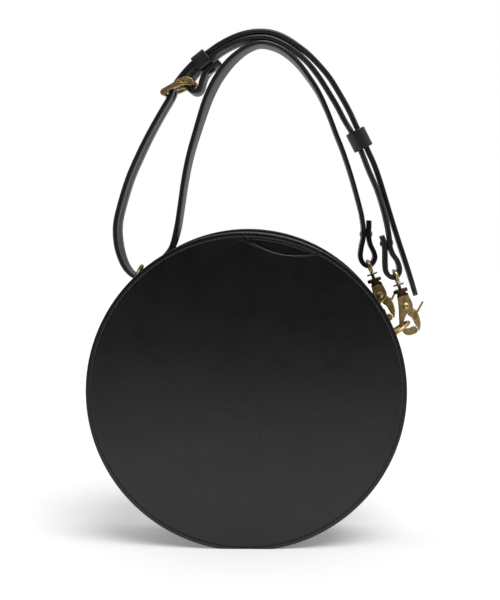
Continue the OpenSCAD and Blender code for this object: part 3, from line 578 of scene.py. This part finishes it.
def stitch_row(name, places, radius):
    """Threads lying on a surface, each thinner and lower towards its ends. A place is (middle, along,
    outward), and a row is (share of the length, share of the radius)."""
    sides, rows = 6, [(-0.5, 0.25), (-0.42, 0.8), (-0.2, 1.0), (0.2, 1.0), (0.42, 0.8), (0.5, 0.25)]
    verts, faces = [], []
    for middle, along, outward in places:
        across = np.cross(along, outward)
        base = len(verts)
        for share, fat in rows:
            sink = -radius * 1.5 * (2 * abs(share)) ** 4
            for k in range(sides):
                a = 2 * math.pi * k / sides
                rise = sink + radius * 0.8 * fat * math.sin(a)
                verts.append(middle + along * share * STITCH_L + outward * rise
                             + across * radius * fat * math.cos(a))
        faces += quad_rows(len(rows), sides, base)
        faces.append(tuple(base + k for k in reversed(range(sides))))
        faces.append(tuple(base + (len(rows) - 1) * sides + k for k in range(sides)))
    return add_mesh(name, verts, faces, thread)


def rim_stitches(name, y, outward, lift):
    """A round row beside the rim, on a face at depth y that looks outward."""
    r = BAG_R - STITCH_IN
    count = round(2 * math.pi * r / STITCH_PITCH)
    lean = math.radians(STITCH_LEAN)
    places = []
    for k in range(count):
        radial, tangent = polar(360 * k / count)
        along = tangent * math.cos(lean) + radial * math.sin(lean)
        middle = to_world(radial * r) + np.array((0, y + outward * lift, 0))
        places.append((middle, along, np.array((0.0, outward, 0.0))))
    stitch_row(name, places, RIM_THREAD_R)


def zip_stitches(name):
    """A row on each zip strip, beside the zip."""
    count = round(2 * ZIP_HALF_DEG * math.pi / 180 * WALL_R / STITCH_PITCH)
    places = []
    for s in (-1, 1):
        aside = np.array((0, s * (ZIP_HALF_W + ZIP_STITCH_IN), 0))
        for k in range(1, count):
            radial, tangent = polar(ROLL - ZIP_HALF_DEG + 2 * ZIP_HALF_DEG * k / count)
            places.append((to_world(radial * WALL_R) + aside, tangent, radial))
    stitch_row(name, places, ZIP_THREAD_R)


def build_stitches():
    rim_stitches("pocket_stitches", FRONT_Y, -1, PANEL_LIFT)
    rim_stitches("rear_stitches", INSIDE_REAR + PANEL_T, 1, PANEL_LIFT)
    rim_stitches("front_flange_stitches", INSIDE_FRONT + GUSSET_T, 1, FLANGE_LIFT)
    rim_stitches("rear_flange_stitches", INSIDE_REAR - GUSSET_T, -1, FLANGE_LIFT)


# Side wall and zip strips

def rounded_outline(points, radius):
    """A closed outline with its corners rounded. Points are (r, y)."""
    steps, out = 3, []
    n = len(points)
    for i in range(n):
        before, corner, after = (np.array(points[(i + k) % n], float) for k in (-1, 0, 1))
        a, b = before - corner, after - corner
        cut_off = min(radius, np.linalg.norm(a) * 0.45, np.linalg.norm(b) * 0.45)
        start = corner + a / np.linalg.norm(a) * cut_off
        end = corner + b / np.linalg.norm(b) * cut_off
        for k in range(steps + 1):
            u = k / steps
            out.append((1 - u) ** 2 * start + 2 * u * (1 - u) * corner + u ** 2 * end)
    return out


def split_long(points, longest):
    """Adds points on an outline's long sides."""
    out = []
    n = len(points)
    for i in range(n):
        a, b = np.array(points[i]), np.array(points[(i + 1) % n])
        parts = max(1, math.ceil(np.linalg.norm(b - a) / longest))
        out += [a + (b - a) * k / parts for k in range(parts)]
    return out


def swept_band(name, a0, a1, points, sag=0.0):
    """An outline of (radius, y) swept round the bag from a0 to a1, off ROLL, with closed ends. sag is how far
    its outer wall hollows between the rims."""
    outline = split_long(rounded_outline(points, WALL_CORNER), WALL_STEP)
    count = max(2, round(a1 - a0))
    middle, half = (INSIDE_FRONT + INSIDE_REAR) / 2, (INSIDE_REAR - INSIDE_FRONT) / 2
    verts = []
    for i in range(count + 1):
        a = math.radians(ROLL + a0 + (a1 - a0) * i / count)
        for r, y in outline:
            dip = sag * max(0.0, 1 - ((y - middle) / half) ** 2) if r < FLANGE_FROM else 0.0
            if dip:
                round_x, round_z = math.sin(a) * GUSSET_TURN, math.cos(a) * GUSSET_TURN
                spot = Vector((round_x, y * GUSSET_WAVES, round_z))
                dip += GUSSET_WAVER * noise.noise(spot)
            q = r - dip
            verts.append((q * math.sin(a), y, max(q * math.cos(a), FLOOR_Z - BAG.z)))
    m = len(outline)
    faces = quad_rows(count + 1, m)
    faces.append(tuple(range(m)))
    faces.append(tuple(reversed(range(count * m, (count + 1) * m))))
    return add_mesh(name, to_world(verts), faces, side_leather)


def build_walls():
    """The side wall and the two strips beside the zip. Outlines run from the front, f, to the rear, g."""
    f, g, t = INSIDE_FRONT, INSIDE_REAR, GUSSET_T
    wall = [(INNER_R, f), (BAG_R, f), (BAG_R, f + t), (WALL_R, f + t),
            (WALL_R, g - t), (BAG_R, g - t), (BAG_R, g), (INNER_R, g)]
    gusset = swept_band("gusset_leather", ZIP_HALF_DEG, 360 - ZIP_HALF_DEG, wall, GUSSET_SAG)
    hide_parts("gusset")
    front = wall[:4] + [(WALL_R, -ZIP_HALF_W), (INNER_R, -ZIP_HALF_W)]
    rear = [(INNER_R, ZIP_HALF_W), (WALL_R, ZIP_HALF_W)] + wall[4:]
    for name, points in (("zip_strip_front", front), ("zip_strip_rear", rear)):
        strip = swept_band(name + "_leather", -ZIP_HALF_DEG, ZIP_HALF_DEG, points)
        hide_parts(name)
    zip_stitches("zip_stitches")


# Strap. Each row of a route is across and up from the bag's middle in shares of BAG_R, depth in shares of
# HOOK_Y, and the tilt of the strap's width in degrees. The long one runs from its loop in the rear hook to
# its free end at the front hook, the short one from its fold round the buckle to its loop in the front hook.
LONG_ROUTE = [
    (0.784, 1.060, 1, 0), (0.784, 1.015, 1, 0), (0.782, 0.967, 1, 0), (0.793, 0.907, 1, 0),
    (0.815, 0.860, 1, 0), (0.824, 0.822, 1, 0), (0.808, 0.784, 1, 0), (0.780, 0.766, 1, 0),
    (0.747, 0.784, 1, 0), (0.730, 0.827, 1, 0), (0.735, 0.885, 1, 0), (0.747, 0.945, 1, 0),
    (0.748, 1.005, 0.98, 0), (0.739, 1.069, 0.88, 0), (0.724, 1.136, 0.74, 0),
    (0.667, 1.333, 0.5, 0), (0.611, 1.496, 0.32, 0), (0.565, 1.609, 0.2, 0),
    (0.511, 1.747, 0.08, 0), (0.451, 1.872, 0, 2), (0.382, 1.976, 0, 4),
    (0.314, 2.060, 0, 6), (0.233, 2.129, 0, 8), (0.155, 2.165, 0, 9), (0.075, 2.175, 0, 9),
    (-0.005, 2.145, 0, 11), (-0.073, 2.095, 0, 14), (-0.133, 2.033, 0, 16),
    (-0.200, 1.936, 0, 16), (-0.258, 1.811, 0, 15), (-0.318, 1.628, 0, 11),
    (-0.364, 1.472, 0, 9), (-0.396, 1.319, 0, 8), (-0.424, 1.135, 0, 7),
    (-0.445, 1.009, 0, 7), (-0.478, 0.896, 0, 4), (-0.524, 0.835, 0, 2),
    (-0.576, 0.781, 0, 0), (-0.631, 0.733, 0, 0), (-0.684, 0.705, 0, 0),
    (-0.736, 0.720, 0, 3), (-0.785, 0.784, 0, 8), (-0.820, 0.893, 0, 12),
    (-0.829, 1.018, 0, 12), (-0.807, 1.135, 0, 12), (-0.750, 1.320, 0, 12),
    (-0.686, 1.467, 0, 12), (-0.624, 1.593, 0, 11), (-0.551, 1.725, 0.03, 10),
    (-0.482, 1.842, 0.071, 10), (-0.465, 1.890, 0.093, 10), (-0.439, 1.934, 0.104, 10),
    (-0.394, 1.991, 0.108, 10), (-0.344, 2.044, 0.104, 10), (-0.301, 2.078, 0.091, 10),
    (-0.245, 2.115, 0.069, 10), (-0.175, 2.163, 0.043, 10), (-0.090, 2.208, 0.01, 9),
    (-0.007, 2.236, 0, 9), (0.075, 2.247, 0, 8), (0.154, 2.242, 0, 6), (0.234, 2.215, 0, 4),
    (0.317, 2.165, 0, 2), (0.405, 2.096, 0, 0), (0.512, 1.978, 0, 0),
    (0.588, 1.859, -0.03, 0), (0.647, 1.753, -0.1, 0), (0.699, 1.641, -0.2, 0),
    (0.758, 1.518, -0.26, 0), (0.805, 1.415, -0.28, 0), (0.847, 1.296, -0.28, 0),
    (0.897, 1.134, -0.27, 0), (0.938, 1.005, -0.26, 0), (0.988, 0.855, -0.24, 0),
    (1.033, 0.720, -0.22, 0), (1.075, 0.587, -0.2, 0),
]
SHORT_ROUTE = [
    (-0.167, 2.061, -0.043, 10), (-0.201, 2.038, -0.03, 10), (-0.234, 2.014, -0.019, 10),
    (-0.264, 1.980, -0.019, 10), (-0.281, 1.937, -0.037, 10), (-0.289, 1.903, -0.056, 10),
    (-0.305, 1.878, -0.061, 10), (-0.328, 1.871, -0.046, 10), (-0.351, 1.880, -0.018, 10),
    (-0.370, 1.900, 0.015, 10), (-0.377, 1.919, 0.036, 10), (-0.370, 1.939, 0.045, 10),
    (-0.349, 1.966, 0.047, 10), (-0.309, 2.014, 0.048, 10), (-0.267, 2.056, 0.043, 10),
    (-0.2182, 2.0926, 0.03, 10), (-0.160, 2.134, 0.01, 10), (-0.078, 2.176, 0, 9),
    (0.000, 2.202, 0, 9), (0.075, 2.211, 0, 8), (0.151, 2.205, 0, 6), (0.256, 2.160, 0, 3),
    (0.362, 2.080, 0, 0), (0.442, 1.987, 0, 0), (0.511, 1.882, 0, 0),
    (0.571, 1.782, -0.03, 0), (0.618, 1.693, -0.1, 0), (0.665, 1.615, -0.2, 0),
    (0.717, 1.511, -0.3, 0), (0.769, 1.378, -0.48, 0), (0.820, 1.258, -0.64, 0),
    (0.858, 1.135, -0.84, 0), (0.882, 1.033, -0.97, 0), (0.895, 0.955, -1, 0),
    (0.900, 0.902, -1, 0), (0.917, 0.856, -1, 0), (0.945, 0.815, -1, 0),
    (0.959, 0.771, -1, 0), (0.956, 0.737, -1, 0), (0.933, 0.711, -1, 0),
    (0.900, 0.716, -1, 0), (0.876, 0.746, -1, 0), (0.870, 0.791, -1, 0),
    (0.869, 0.842, -1, 0), (0.868, 0.891, -1, 0), (0.862, 0.931, -1, 0),
    (0.848, 0.969, -1, 0),
]
FOLD_ROWS = 15
ROUTE_STEPS = 5
LOOP_MID = np.array((0.075, 1.36)) * BAG_R


def unit(v):
    return v / np.linalg.norm(v)


def catmull(points, i, u):
    """A smooth curve through points, at share u of the way from point i to the next."""
    n = len(points)
    p, q = points[max(i - 1, 0)], points[i]
    r, s = points[min(i + 1, n - 1)], points[min(i + 2, n - 1)]
    return (2 * q + (r - p) * u + (2 * p - 5 * q + 4 * r - s) * u ** 2 + (3 * q - p - 3 * r + s) * u ** 3) / 2


def along_at(points, i):
    """A line's direction at one of its points."""
    return points[min(i + 1, len(points) - 1)] - points[max(i - 1, 0)]


def route_frames(rows, fold_rows):
    """Centre, width direction and face direction along a route, smoothed between its rows. The outer face
    looks away from the loop's middle, but along the buckle's normal in the first fold_rows."""
    points = np.array([(x * BAG_R, y * HOOK_Y, z * BAG_R) for x, z, y, tilt in rows])
    n = len(points)
    widths = []
    for i in range(n):
        along = along_at(points, i)
        if i < fold_rows:
            a = math.radians(STRAP_DEG)
            out = np.array((-math.sin(a), math.cos(a)))
        else:
            out = unit(np.array((-along[2], along[0])))
            if out @ (points[i][[0, 2]] - LOOP_MID) < 0:
                out = -out
        tilt = math.radians(rows[i][3])
        widths.append((-math.sin(tilt) * out[0], math.cos(tilt), -math.sin(tilt) * out[1]))
    widths = np.array(widths)
    centres, sides = [], []
    for k in range((n - 1) * ROUTE_STEPS + 1):
        i = min(k // ROUTE_STEPS, n - 2)
        u = (k - i * ROUTE_STEPS) / ROUTE_STEPS
        centres.append(catmull(points, i, u))
        sides.append(unit(catmull(widths, i, u)))
    return [(centre, side, unit(np.cross(unit(along_at(centres, i)), side)))
            for i, (centre, side) in enumerate(zip(centres, sides))]


def strap_section(w, t, line=False):
    """A strap's rounded section as (across, through, kind), with a shallow line beside each edge if asked
    for. kind is 0 on the outer face, 1 on the inner face and 2 on the edge."""
    a, b, corner = w / 2, t / 2, min(t * 0.42, STRAP_CORNER)
    edge = []
    for angle in (-90, -60, -30, 0, 30, 60, 90):
        turn = math.radians(angle)
        flat = 0 if angle == 0 else math.copysign(b - corner, angle)
        edge.append((a - corner + corner * math.cos(turn), flat + corner * math.sin(turn), 2))
    near, deepest, far = EDGE_LINE
    deep = EDGE_LINE_DEEP if line else 0
    face = [(a - near, b, 0), (a - deepest, b - deep, 0), (a - far, b, 0), (a * 0.4, b, 0)]
    face += [(-x, y, kind) for x, y, kind in reversed(face)]
    other_edge = [(-x, -y, kind) for x, y, kind in edge]
    inside = [(-a * 0.4, -b, 1), (a * 0.4, -b, 1)]
    return edge + face + other_edge + inside


def ribbon(name, frames, section, materials, body="strap", closed=False, taper=None):
    """A strap along frames of (centre, width direction, face direction). taper is its width's share there."""
    m, n = len(section), len(frames)
    verts, faces, kinds = [], [], []
    for i, (centre, side, up) in enumerate(frames):
        scale = taper(i / (n - 1)) if taper else 1.0
        for across, through, kind in section:
            p = centre + side * across * scale + up * through
            rough = STRAP_WAVER * noise.noise(Vector(p * STRAP_WAVES)) if kind != 2 else 0.0
            verts.append(p + up * rough)
    for i in range(n if closed else n - 1):
        h = (i + 1) % n
        for k in range(m):
            j = (k + 1) % m
            faces.append((i * m + k, h * m + k, h * m + j, i * m + j))
            kinds.append(section[k][2] if section[k][2] == section[j][2] else 2)
    if not closed:
        faces.append(tuple(range(m)))
        faces.append(tuple(reversed(range((n - 1) * m, n * m))))
        kinds += [2, 2]
    return add_mesh(name, to_world(verts), faces, materials[0], body, kinds, materials[1:])


def turned(degrees, axis):
    """A rotation about an axis through the origin."""
    return Matrix.Rotation(math.radians(degrees), 4, axis)


def buckle_matrix():
    """The buckle's own frame: X along the strap, Z outward."""
    place = Matrix.Translation(BAG + Vector((-BAR_SHARE[0] * BAG_R, 0, BAR_SHARE[1] * BAG_R)))
    return place @ turned(-STRAP_DEG, "Y") @ turned(-BUCKLE_TILT, "X")


def cut(obj, cutter):
    """Cuts one mesh out of another and keeps the result."""
    modifier = obj.modifiers.new("cut", "BOOLEAN")
    modifier.operation = "DIFFERENCE"
    modifier.solver = "EXACT"
    modifier.object = cutter
    bpy.context.view_layer.update()
    shape = bpy.data.meshes.new_from_object(obj.evaluated_get(bpy.context.evaluated_depsgraph_get()))
    obj.modifiers.clear()
    obj.data = shape
    bpy.data.objects.remove(cutter)


def stadium(length, width, matrix):
    """A closed prism with round ends, for cutting a slot through a strap."""
    outline = []
    for s in (1, -1):
        for k in range(13):
            a = -math.pi / 2 + math.pi * k / 12
            x = s * (length - width) / 2 + s * math.cos(a) * width / 2
            outline.append((x, s * math.sin(a) * width / 2))
    n = len(outline)
    verts = [matrix @ Vector((x, y, z)) for z in (-SLOT_DEPTH / 2, SLOT_DEPTH / 2) for x, y in outline]
    faces = [tuple(reversed(range(n))), tuple(range(n, 2 * n))]
    faces += quad_rows(2, n)
    mesh = bpy.data.meshes.new("cutter")
    mesh.from_pydata(verts, [], faces)
    obj = bpy.data.objects.new("cutter", mesh)
    bpy.context.scene.collection.objects.link(obj)
    return obj


def strap_tip(u):
    """The share of the width at a share of the length: the far end is rounded."""
    if u < TIP_FROM:
        return 1.0
    return math.sqrt(max(TIP_BLUNT, 1 - ((u - TIP_FROM) / TIP_LONG) ** 2))


def build_strap():
    section = strap_section(STRAP_W, STRAP_T, line=True)
    frames = route_frames(LONG_ROUTE, 0)
    long_piece = ribbon("long_strap_leather", frames, section, STRAP_MATERIALS, taper=strap_tip)
    slot = buckle_matrix() @ Matrix.Translation(PRONG_SLOT_PLACE) @ turned(PRONG_SLOT_TURN, "Y")
    cut(long_piece, stadium(*PRONG_SLOT, slot))
    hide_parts("long_strap")
    frames = route_frames(SHORT_ROUTE, FOLD_ROWS)
    short_piece = ribbon("short_strap_leather", frames, section, STRAP_MATERIALS)
    slot = buckle_matrix() @ Matrix.Translation(FOLD_SLOT_PLACE)
    cut(short_piece, stadium(*FOLD_SLOT, slot))
    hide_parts("short_strap")


# Keepers and tabs

def loop_frames(matrix, w, h, corner):
    """Frames round a keeper with w by h free inside: its path is in the matrix's YZ plane, its width on X."""
    a, b = w / 2 + KEEPER_T / 2, h / 2 + KEEPER_T / 2
    c = min(corner, b * 0.98)
    points = []
    for sy, sz, start in ((1, 1, 0), (-1, 1, 90), (-1, -1, 180), (1, -1, 270)):
        for k in range(9):
            angle = math.radians(start + 90 * k / 8)
            points.append((sy * (a - c) + c * math.cos(angle), sz * (b - c) + c * math.sin(angle)))
    dense = split_long(points, KEEPER_STEP)
    turn = matrix.to_3x3()
    frames = []
    for i, (y, z) in enumerate(dense):
        along = unit(dense[(i + 1) % len(dense)] - dense[i - 1])
        centre = np.array(matrix @ Vector((0, y, z))) - np.array(BAG)
        side = np.array(turn @ Vector((1, 0, 0)))
        up = np.array(turn @ Vector((0, along[1], -along[0])))
        frames.append((centre, side, up))
    return frames


def build_keepers():
    place = buckle_matrix() @ Matrix.Translation(FIXED_PLACE) @ turned(FIXED_TURN, "Y")
    frames = loop_frames(place, *FIXED_INSIDE, FIXED_CORNER)
    section = strap_section(FIXED_W, KEEPER_T)
    piece = ribbon("fixed_keeper_leather", frames, section, STRAP_MATERIALS, closed=True)
    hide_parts("fixed_keeper")
    place = Matrix.Translation(BAG + Vector(SLIDING_PLACE)) @ turned(SLIDING_TURN, "Y")
    frames = loop_frames(place, *SLIDING_INSIDE, SLIDING_CORNER)
    section = strap_section(SLIDING_W, KEEPER_T)
    piece = ribbon("sliding_keeper_leather", frames, section, STRAP_MATERIALS, body="keeper", closed=True)
    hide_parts("sliding_keeper")


def tab_frames(side, y):
    """A leather strip from its end on the side wall round the ring's bar and back. side is -1 at left."""
    low, high = WALL_R + TAB_GAP + TAB_T / 2, WALL_R + TAB_GAP + TAB_T * 1.5
    reach = RING_WIRE_R + RING_ROOM + TAB_T / 2
    bar = math.radians(TAB_DEG) * BAR_R
    end = math.radians(TAB_DEG + TAB_LONG_DEG)
    under_from, over_from = math.radians(UNDER_FROM_DEG), math.radians(OVER_FROM_DEG)
    path = []
    for k in range(16):
        path.append(((end + (under_from - end) * k / 15) * BAR_R, low))
    for k in range(15):
        a = math.radians(WRAP_FROM_DEG - k * WRAP_DEG / 14)
        path.append((bar + reach * math.cos(a), BAR_R + reach * math.sin(a)))
    for k in range(14):
        path.append(((over_from + (end - over_from) * k / 13) * BAR_R, high))
    points = []
    for along, r in path:
        a = math.radians(ROLL) + side * along / BAR_R
        points.append(np.array((r * math.sin(a), y, r * math.cos(a))))
    width = np.array((0.0, 1.0, 0.0))
    return [(p, width, unit(np.cross(unit(along_at(points, i)), width)) * (-side))
            for i, p in enumerate(points)]


def build_tabs():
    section = strap_section(TAB_W, TAB_T * 0.96)
    for name, side, y in TABS:
        piece = ribbon(name + "_leather", tab_frames(side, y), section, TAB_MATERIALS, body="bag")
        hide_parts(name)


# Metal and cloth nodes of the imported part

def dress(name, material, bevel=0.0, cast=None):
    """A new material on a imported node, with a small bevel or a cast finish of (voxel, smoothing passes)."""
    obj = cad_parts[name]
    obj.data.materials.clear()
    obj.data.materials.append(material)
    if cast:
        voxel, passes = cast
        melt = obj.modifiers.new("melt", "REMESH")
        melt.mode = "VOXEL"
        melt.voxel_size = voxel
        melt.use_smooth_shade = True
        soft = obj.modifiers.new("soft", "SMOOTH")
        soft.iterations = passes
        soft.factor = 0.5
    elif bevel:
        edge = obj.modifiers.new("edge", "BEVEL")
        edge.width = bevel
        edge.segments = 2
        edge.limit_method = "ANGLE"
        edge.angle_limit = math.radians(CREASE_FROM_DEG)
        edge.harden_normals = False
        smooth_by_angle(obj, BEVEL_SMOOTH_DEG)
    else:
        smooth_by_angle(obj, CREASE_FROM_DEG)


def dress_hook(side, slant):
    """Dresses a gate hook and its paler strap bail, which both have a stretch coloured darker."""
    low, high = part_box(f"{side}_hook_eye")
    turn = math.radians(slant)
    top = Vector((low.x + HOOK_TOP_IN, 0, high.z))
    down = Vector((math.sin(turn), 0, -math.cos(turn)))
    eye_brass = brass_material(f"{side}_eye_brass", *PALE_BRASS, 0.34, (top, down, *EYE_DARK))
    body_brass = brass_material(f"{side}_body_brass", *BRASS, 0.4, (top, down, *BODY_DARK))
    dress(f"{side}_hook_body", body_brass, cast=HOOK_CAST)
    dress(f"{side}_hook_gate", brass, cast=GATE_CAST)
    dress(f"{side}_hook_eye", eye_brass, cast=EYE_CAST)
    dress(f"{side}_hook_rivet", brass)
    dress(f"{side}_hook_spring", dark_brass)
    dress(f"{side}_loop_rivet", dark_brass)


def dress_nodes():
    for name in ("right_front_ring", "right_rear_ring", "buckle_prong"):
        dress(name, brass)
    dress("left_ring", dark_brass)
    dress("buckle_frame", brass, cast=FRAME_CAST)
    for side, slant in HOOK_SLANTS:
        dress_hook(side, slant)
    dress("buckle_rivet", brass)
    dress("tab_rivets", brass)
    for name in ("zip_slider", "zip_pull", "zip_stops", "zip_teeth_front", "zip_teeth_rear"):
        dress(name, brass, bevel=ZIP_BEVEL)
    for name in ("zip_tape_front", "zip_tape_rear"):
        dress(name, zip_cloth)
    for name in ("lining_front", "lining_rear", "lining_gusset"):
        dress(name, lining_cloth)


# Floor, light and camera

def build_floor():
    """A pale floor that also glows a little to the camera, so that its tone meets the background's."""
    corners = [(-FLOOR_FAR, FLOOR_NEAR, 0), (FLOOR_FAR, FLOOR_NEAR, 0),
               (FLOOR_FAR, FLOOR_FAR, 0), (-FLOOR_FAR, FLOOR_FAR, 0)]
    mesh = bpy.data.meshes.new("floor")
    mesh.from_pydata(corners, [], [(0, 1, 2, 3)])
    floor = bpy.data.objects.new("floor", mesh)
    bpy.context.scene.collection.objects.link(floor)
    material, tree, shader = new_material("pale_floor")
    shader.inputs["Base Color"].default_value = FLOOR_COLOR
    shader.inputs["Roughness"].default_value = 0.75
    shader.inputs["Specular IOR Level"].default_value = 0.1
    rays = node(tree, "ShaderNodeLightPath")
    glow = node(tree, "ShaderNodeEmission", Color=(1, 1, 1, 1))
    level = node(tree, "ShaderNodeMath", operation="MULTIPLY")
    level.inputs[1].default_value = FLOOR_GLOW
    tree.links.new(rays.outputs["Is Camera Ray"], level.inputs[0])
    tree.links.new(level.outputs[0], glow.inputs["Strength"])
    both = node(tree, "ShaderNodeAddShader")
    tree.links.new(shader.outputs[0], both.inputs[0])
    tree.links.new(glow.outputs[0], both.inputs[1])
    tree.links.new(both.outputs[0], tree.nodes["Material Output"].inputs["Surface"])
    mesh.materials.append(material)


def build_world():
    """White to the camera. Its light is dim from the front, so that the black leather stays dark."""
    world = bpy.data.worlds.new("studio")
    bpy.context.scene.world = world
    world.use_nodes = True
    tree = world.node_tree
    tree.nodes.clear()
    out = node(tree, "ShaderNodeOutputWorld")
    background = node(tree, "ShaderNodeBackground")
    coordinates = node(tree, "ShaderNodeTexCoord")
    split = node(tree, "ShaderNodeSeparateXYZ")
    tree.links.new(coordinates.outputs["Generated"], split.inputs[0])
    depth = node(tree, "ShaderNodeMapRange", interpolation_type="SMOOTHSTEP")
    depth.inputs["From Min"].default_value = SKY_FROM
    depth.inputs["From Max"].default_value = SKY_TO
    depth.inputs["To Min"].default_value = SKY_DIM
    depth.inputs["To Max"].default_value = SKY_BRIGHT
    tree.links.new(split.outputs["Y"], depth.inputs["Value"])
    rays = node(tree, "ShaderNodeLightPath")
    level = node(tree, "ShaderNodeMath", operation="MAXIMUM")
    tree.links.new(depth.outputs["Result"], level.inputs[0])
    tree.links.new(rays.outputs["Is Camera Ray"], level.inputs[1])
    tree.links.new(level.outputs[0], background.inputs["Strength"])
    background.inputs["Color"].default_value = (1, 1, 1, 1)
    tree.links.new(background.outputs[0], out.inputs["Surface"])


def build_lamp():
    data = bpy.data.lights.new("broad_lamp", "SUN")
    data.energy = SUN_STRENGTH
    data.angle = math.radians(SUN_WIDTH)
    lamp = bpy.data.objects.new("broad_lamp", data)
    lamp.rotation_euler = (-SUN_FROM).to_track_quat("-Z", "Y").to_euler()
    bpy.context.scene.collection.objects.link(lamp)


def build_camera():
    data = bpy.data.cameras.new("camera")
    data.lens = CAMERA_LENS
    data.sensor_width = CAMERA_SENSOR
    camera = bpy.data.objects.new("camera", data)
    camera.location = BAG + CAMERA_PLACE
    camera.rotation_euler = (math.radians(90 - CAMERA_DOWN), 0, math.radians(CAMERA_TURN))
    bpy.context.scene.collection.objects.link(camera)
    bpy.context.scene.camera = camera


build_camera()
build_panels()
build_stitches()
build_walls()
build_strap()
build_keepers()
build_tabs()
dress_nodes()
build_floor()
build_world()
build_lamp()
bpy.context.scene.view_settings.view_transform = "Standard"
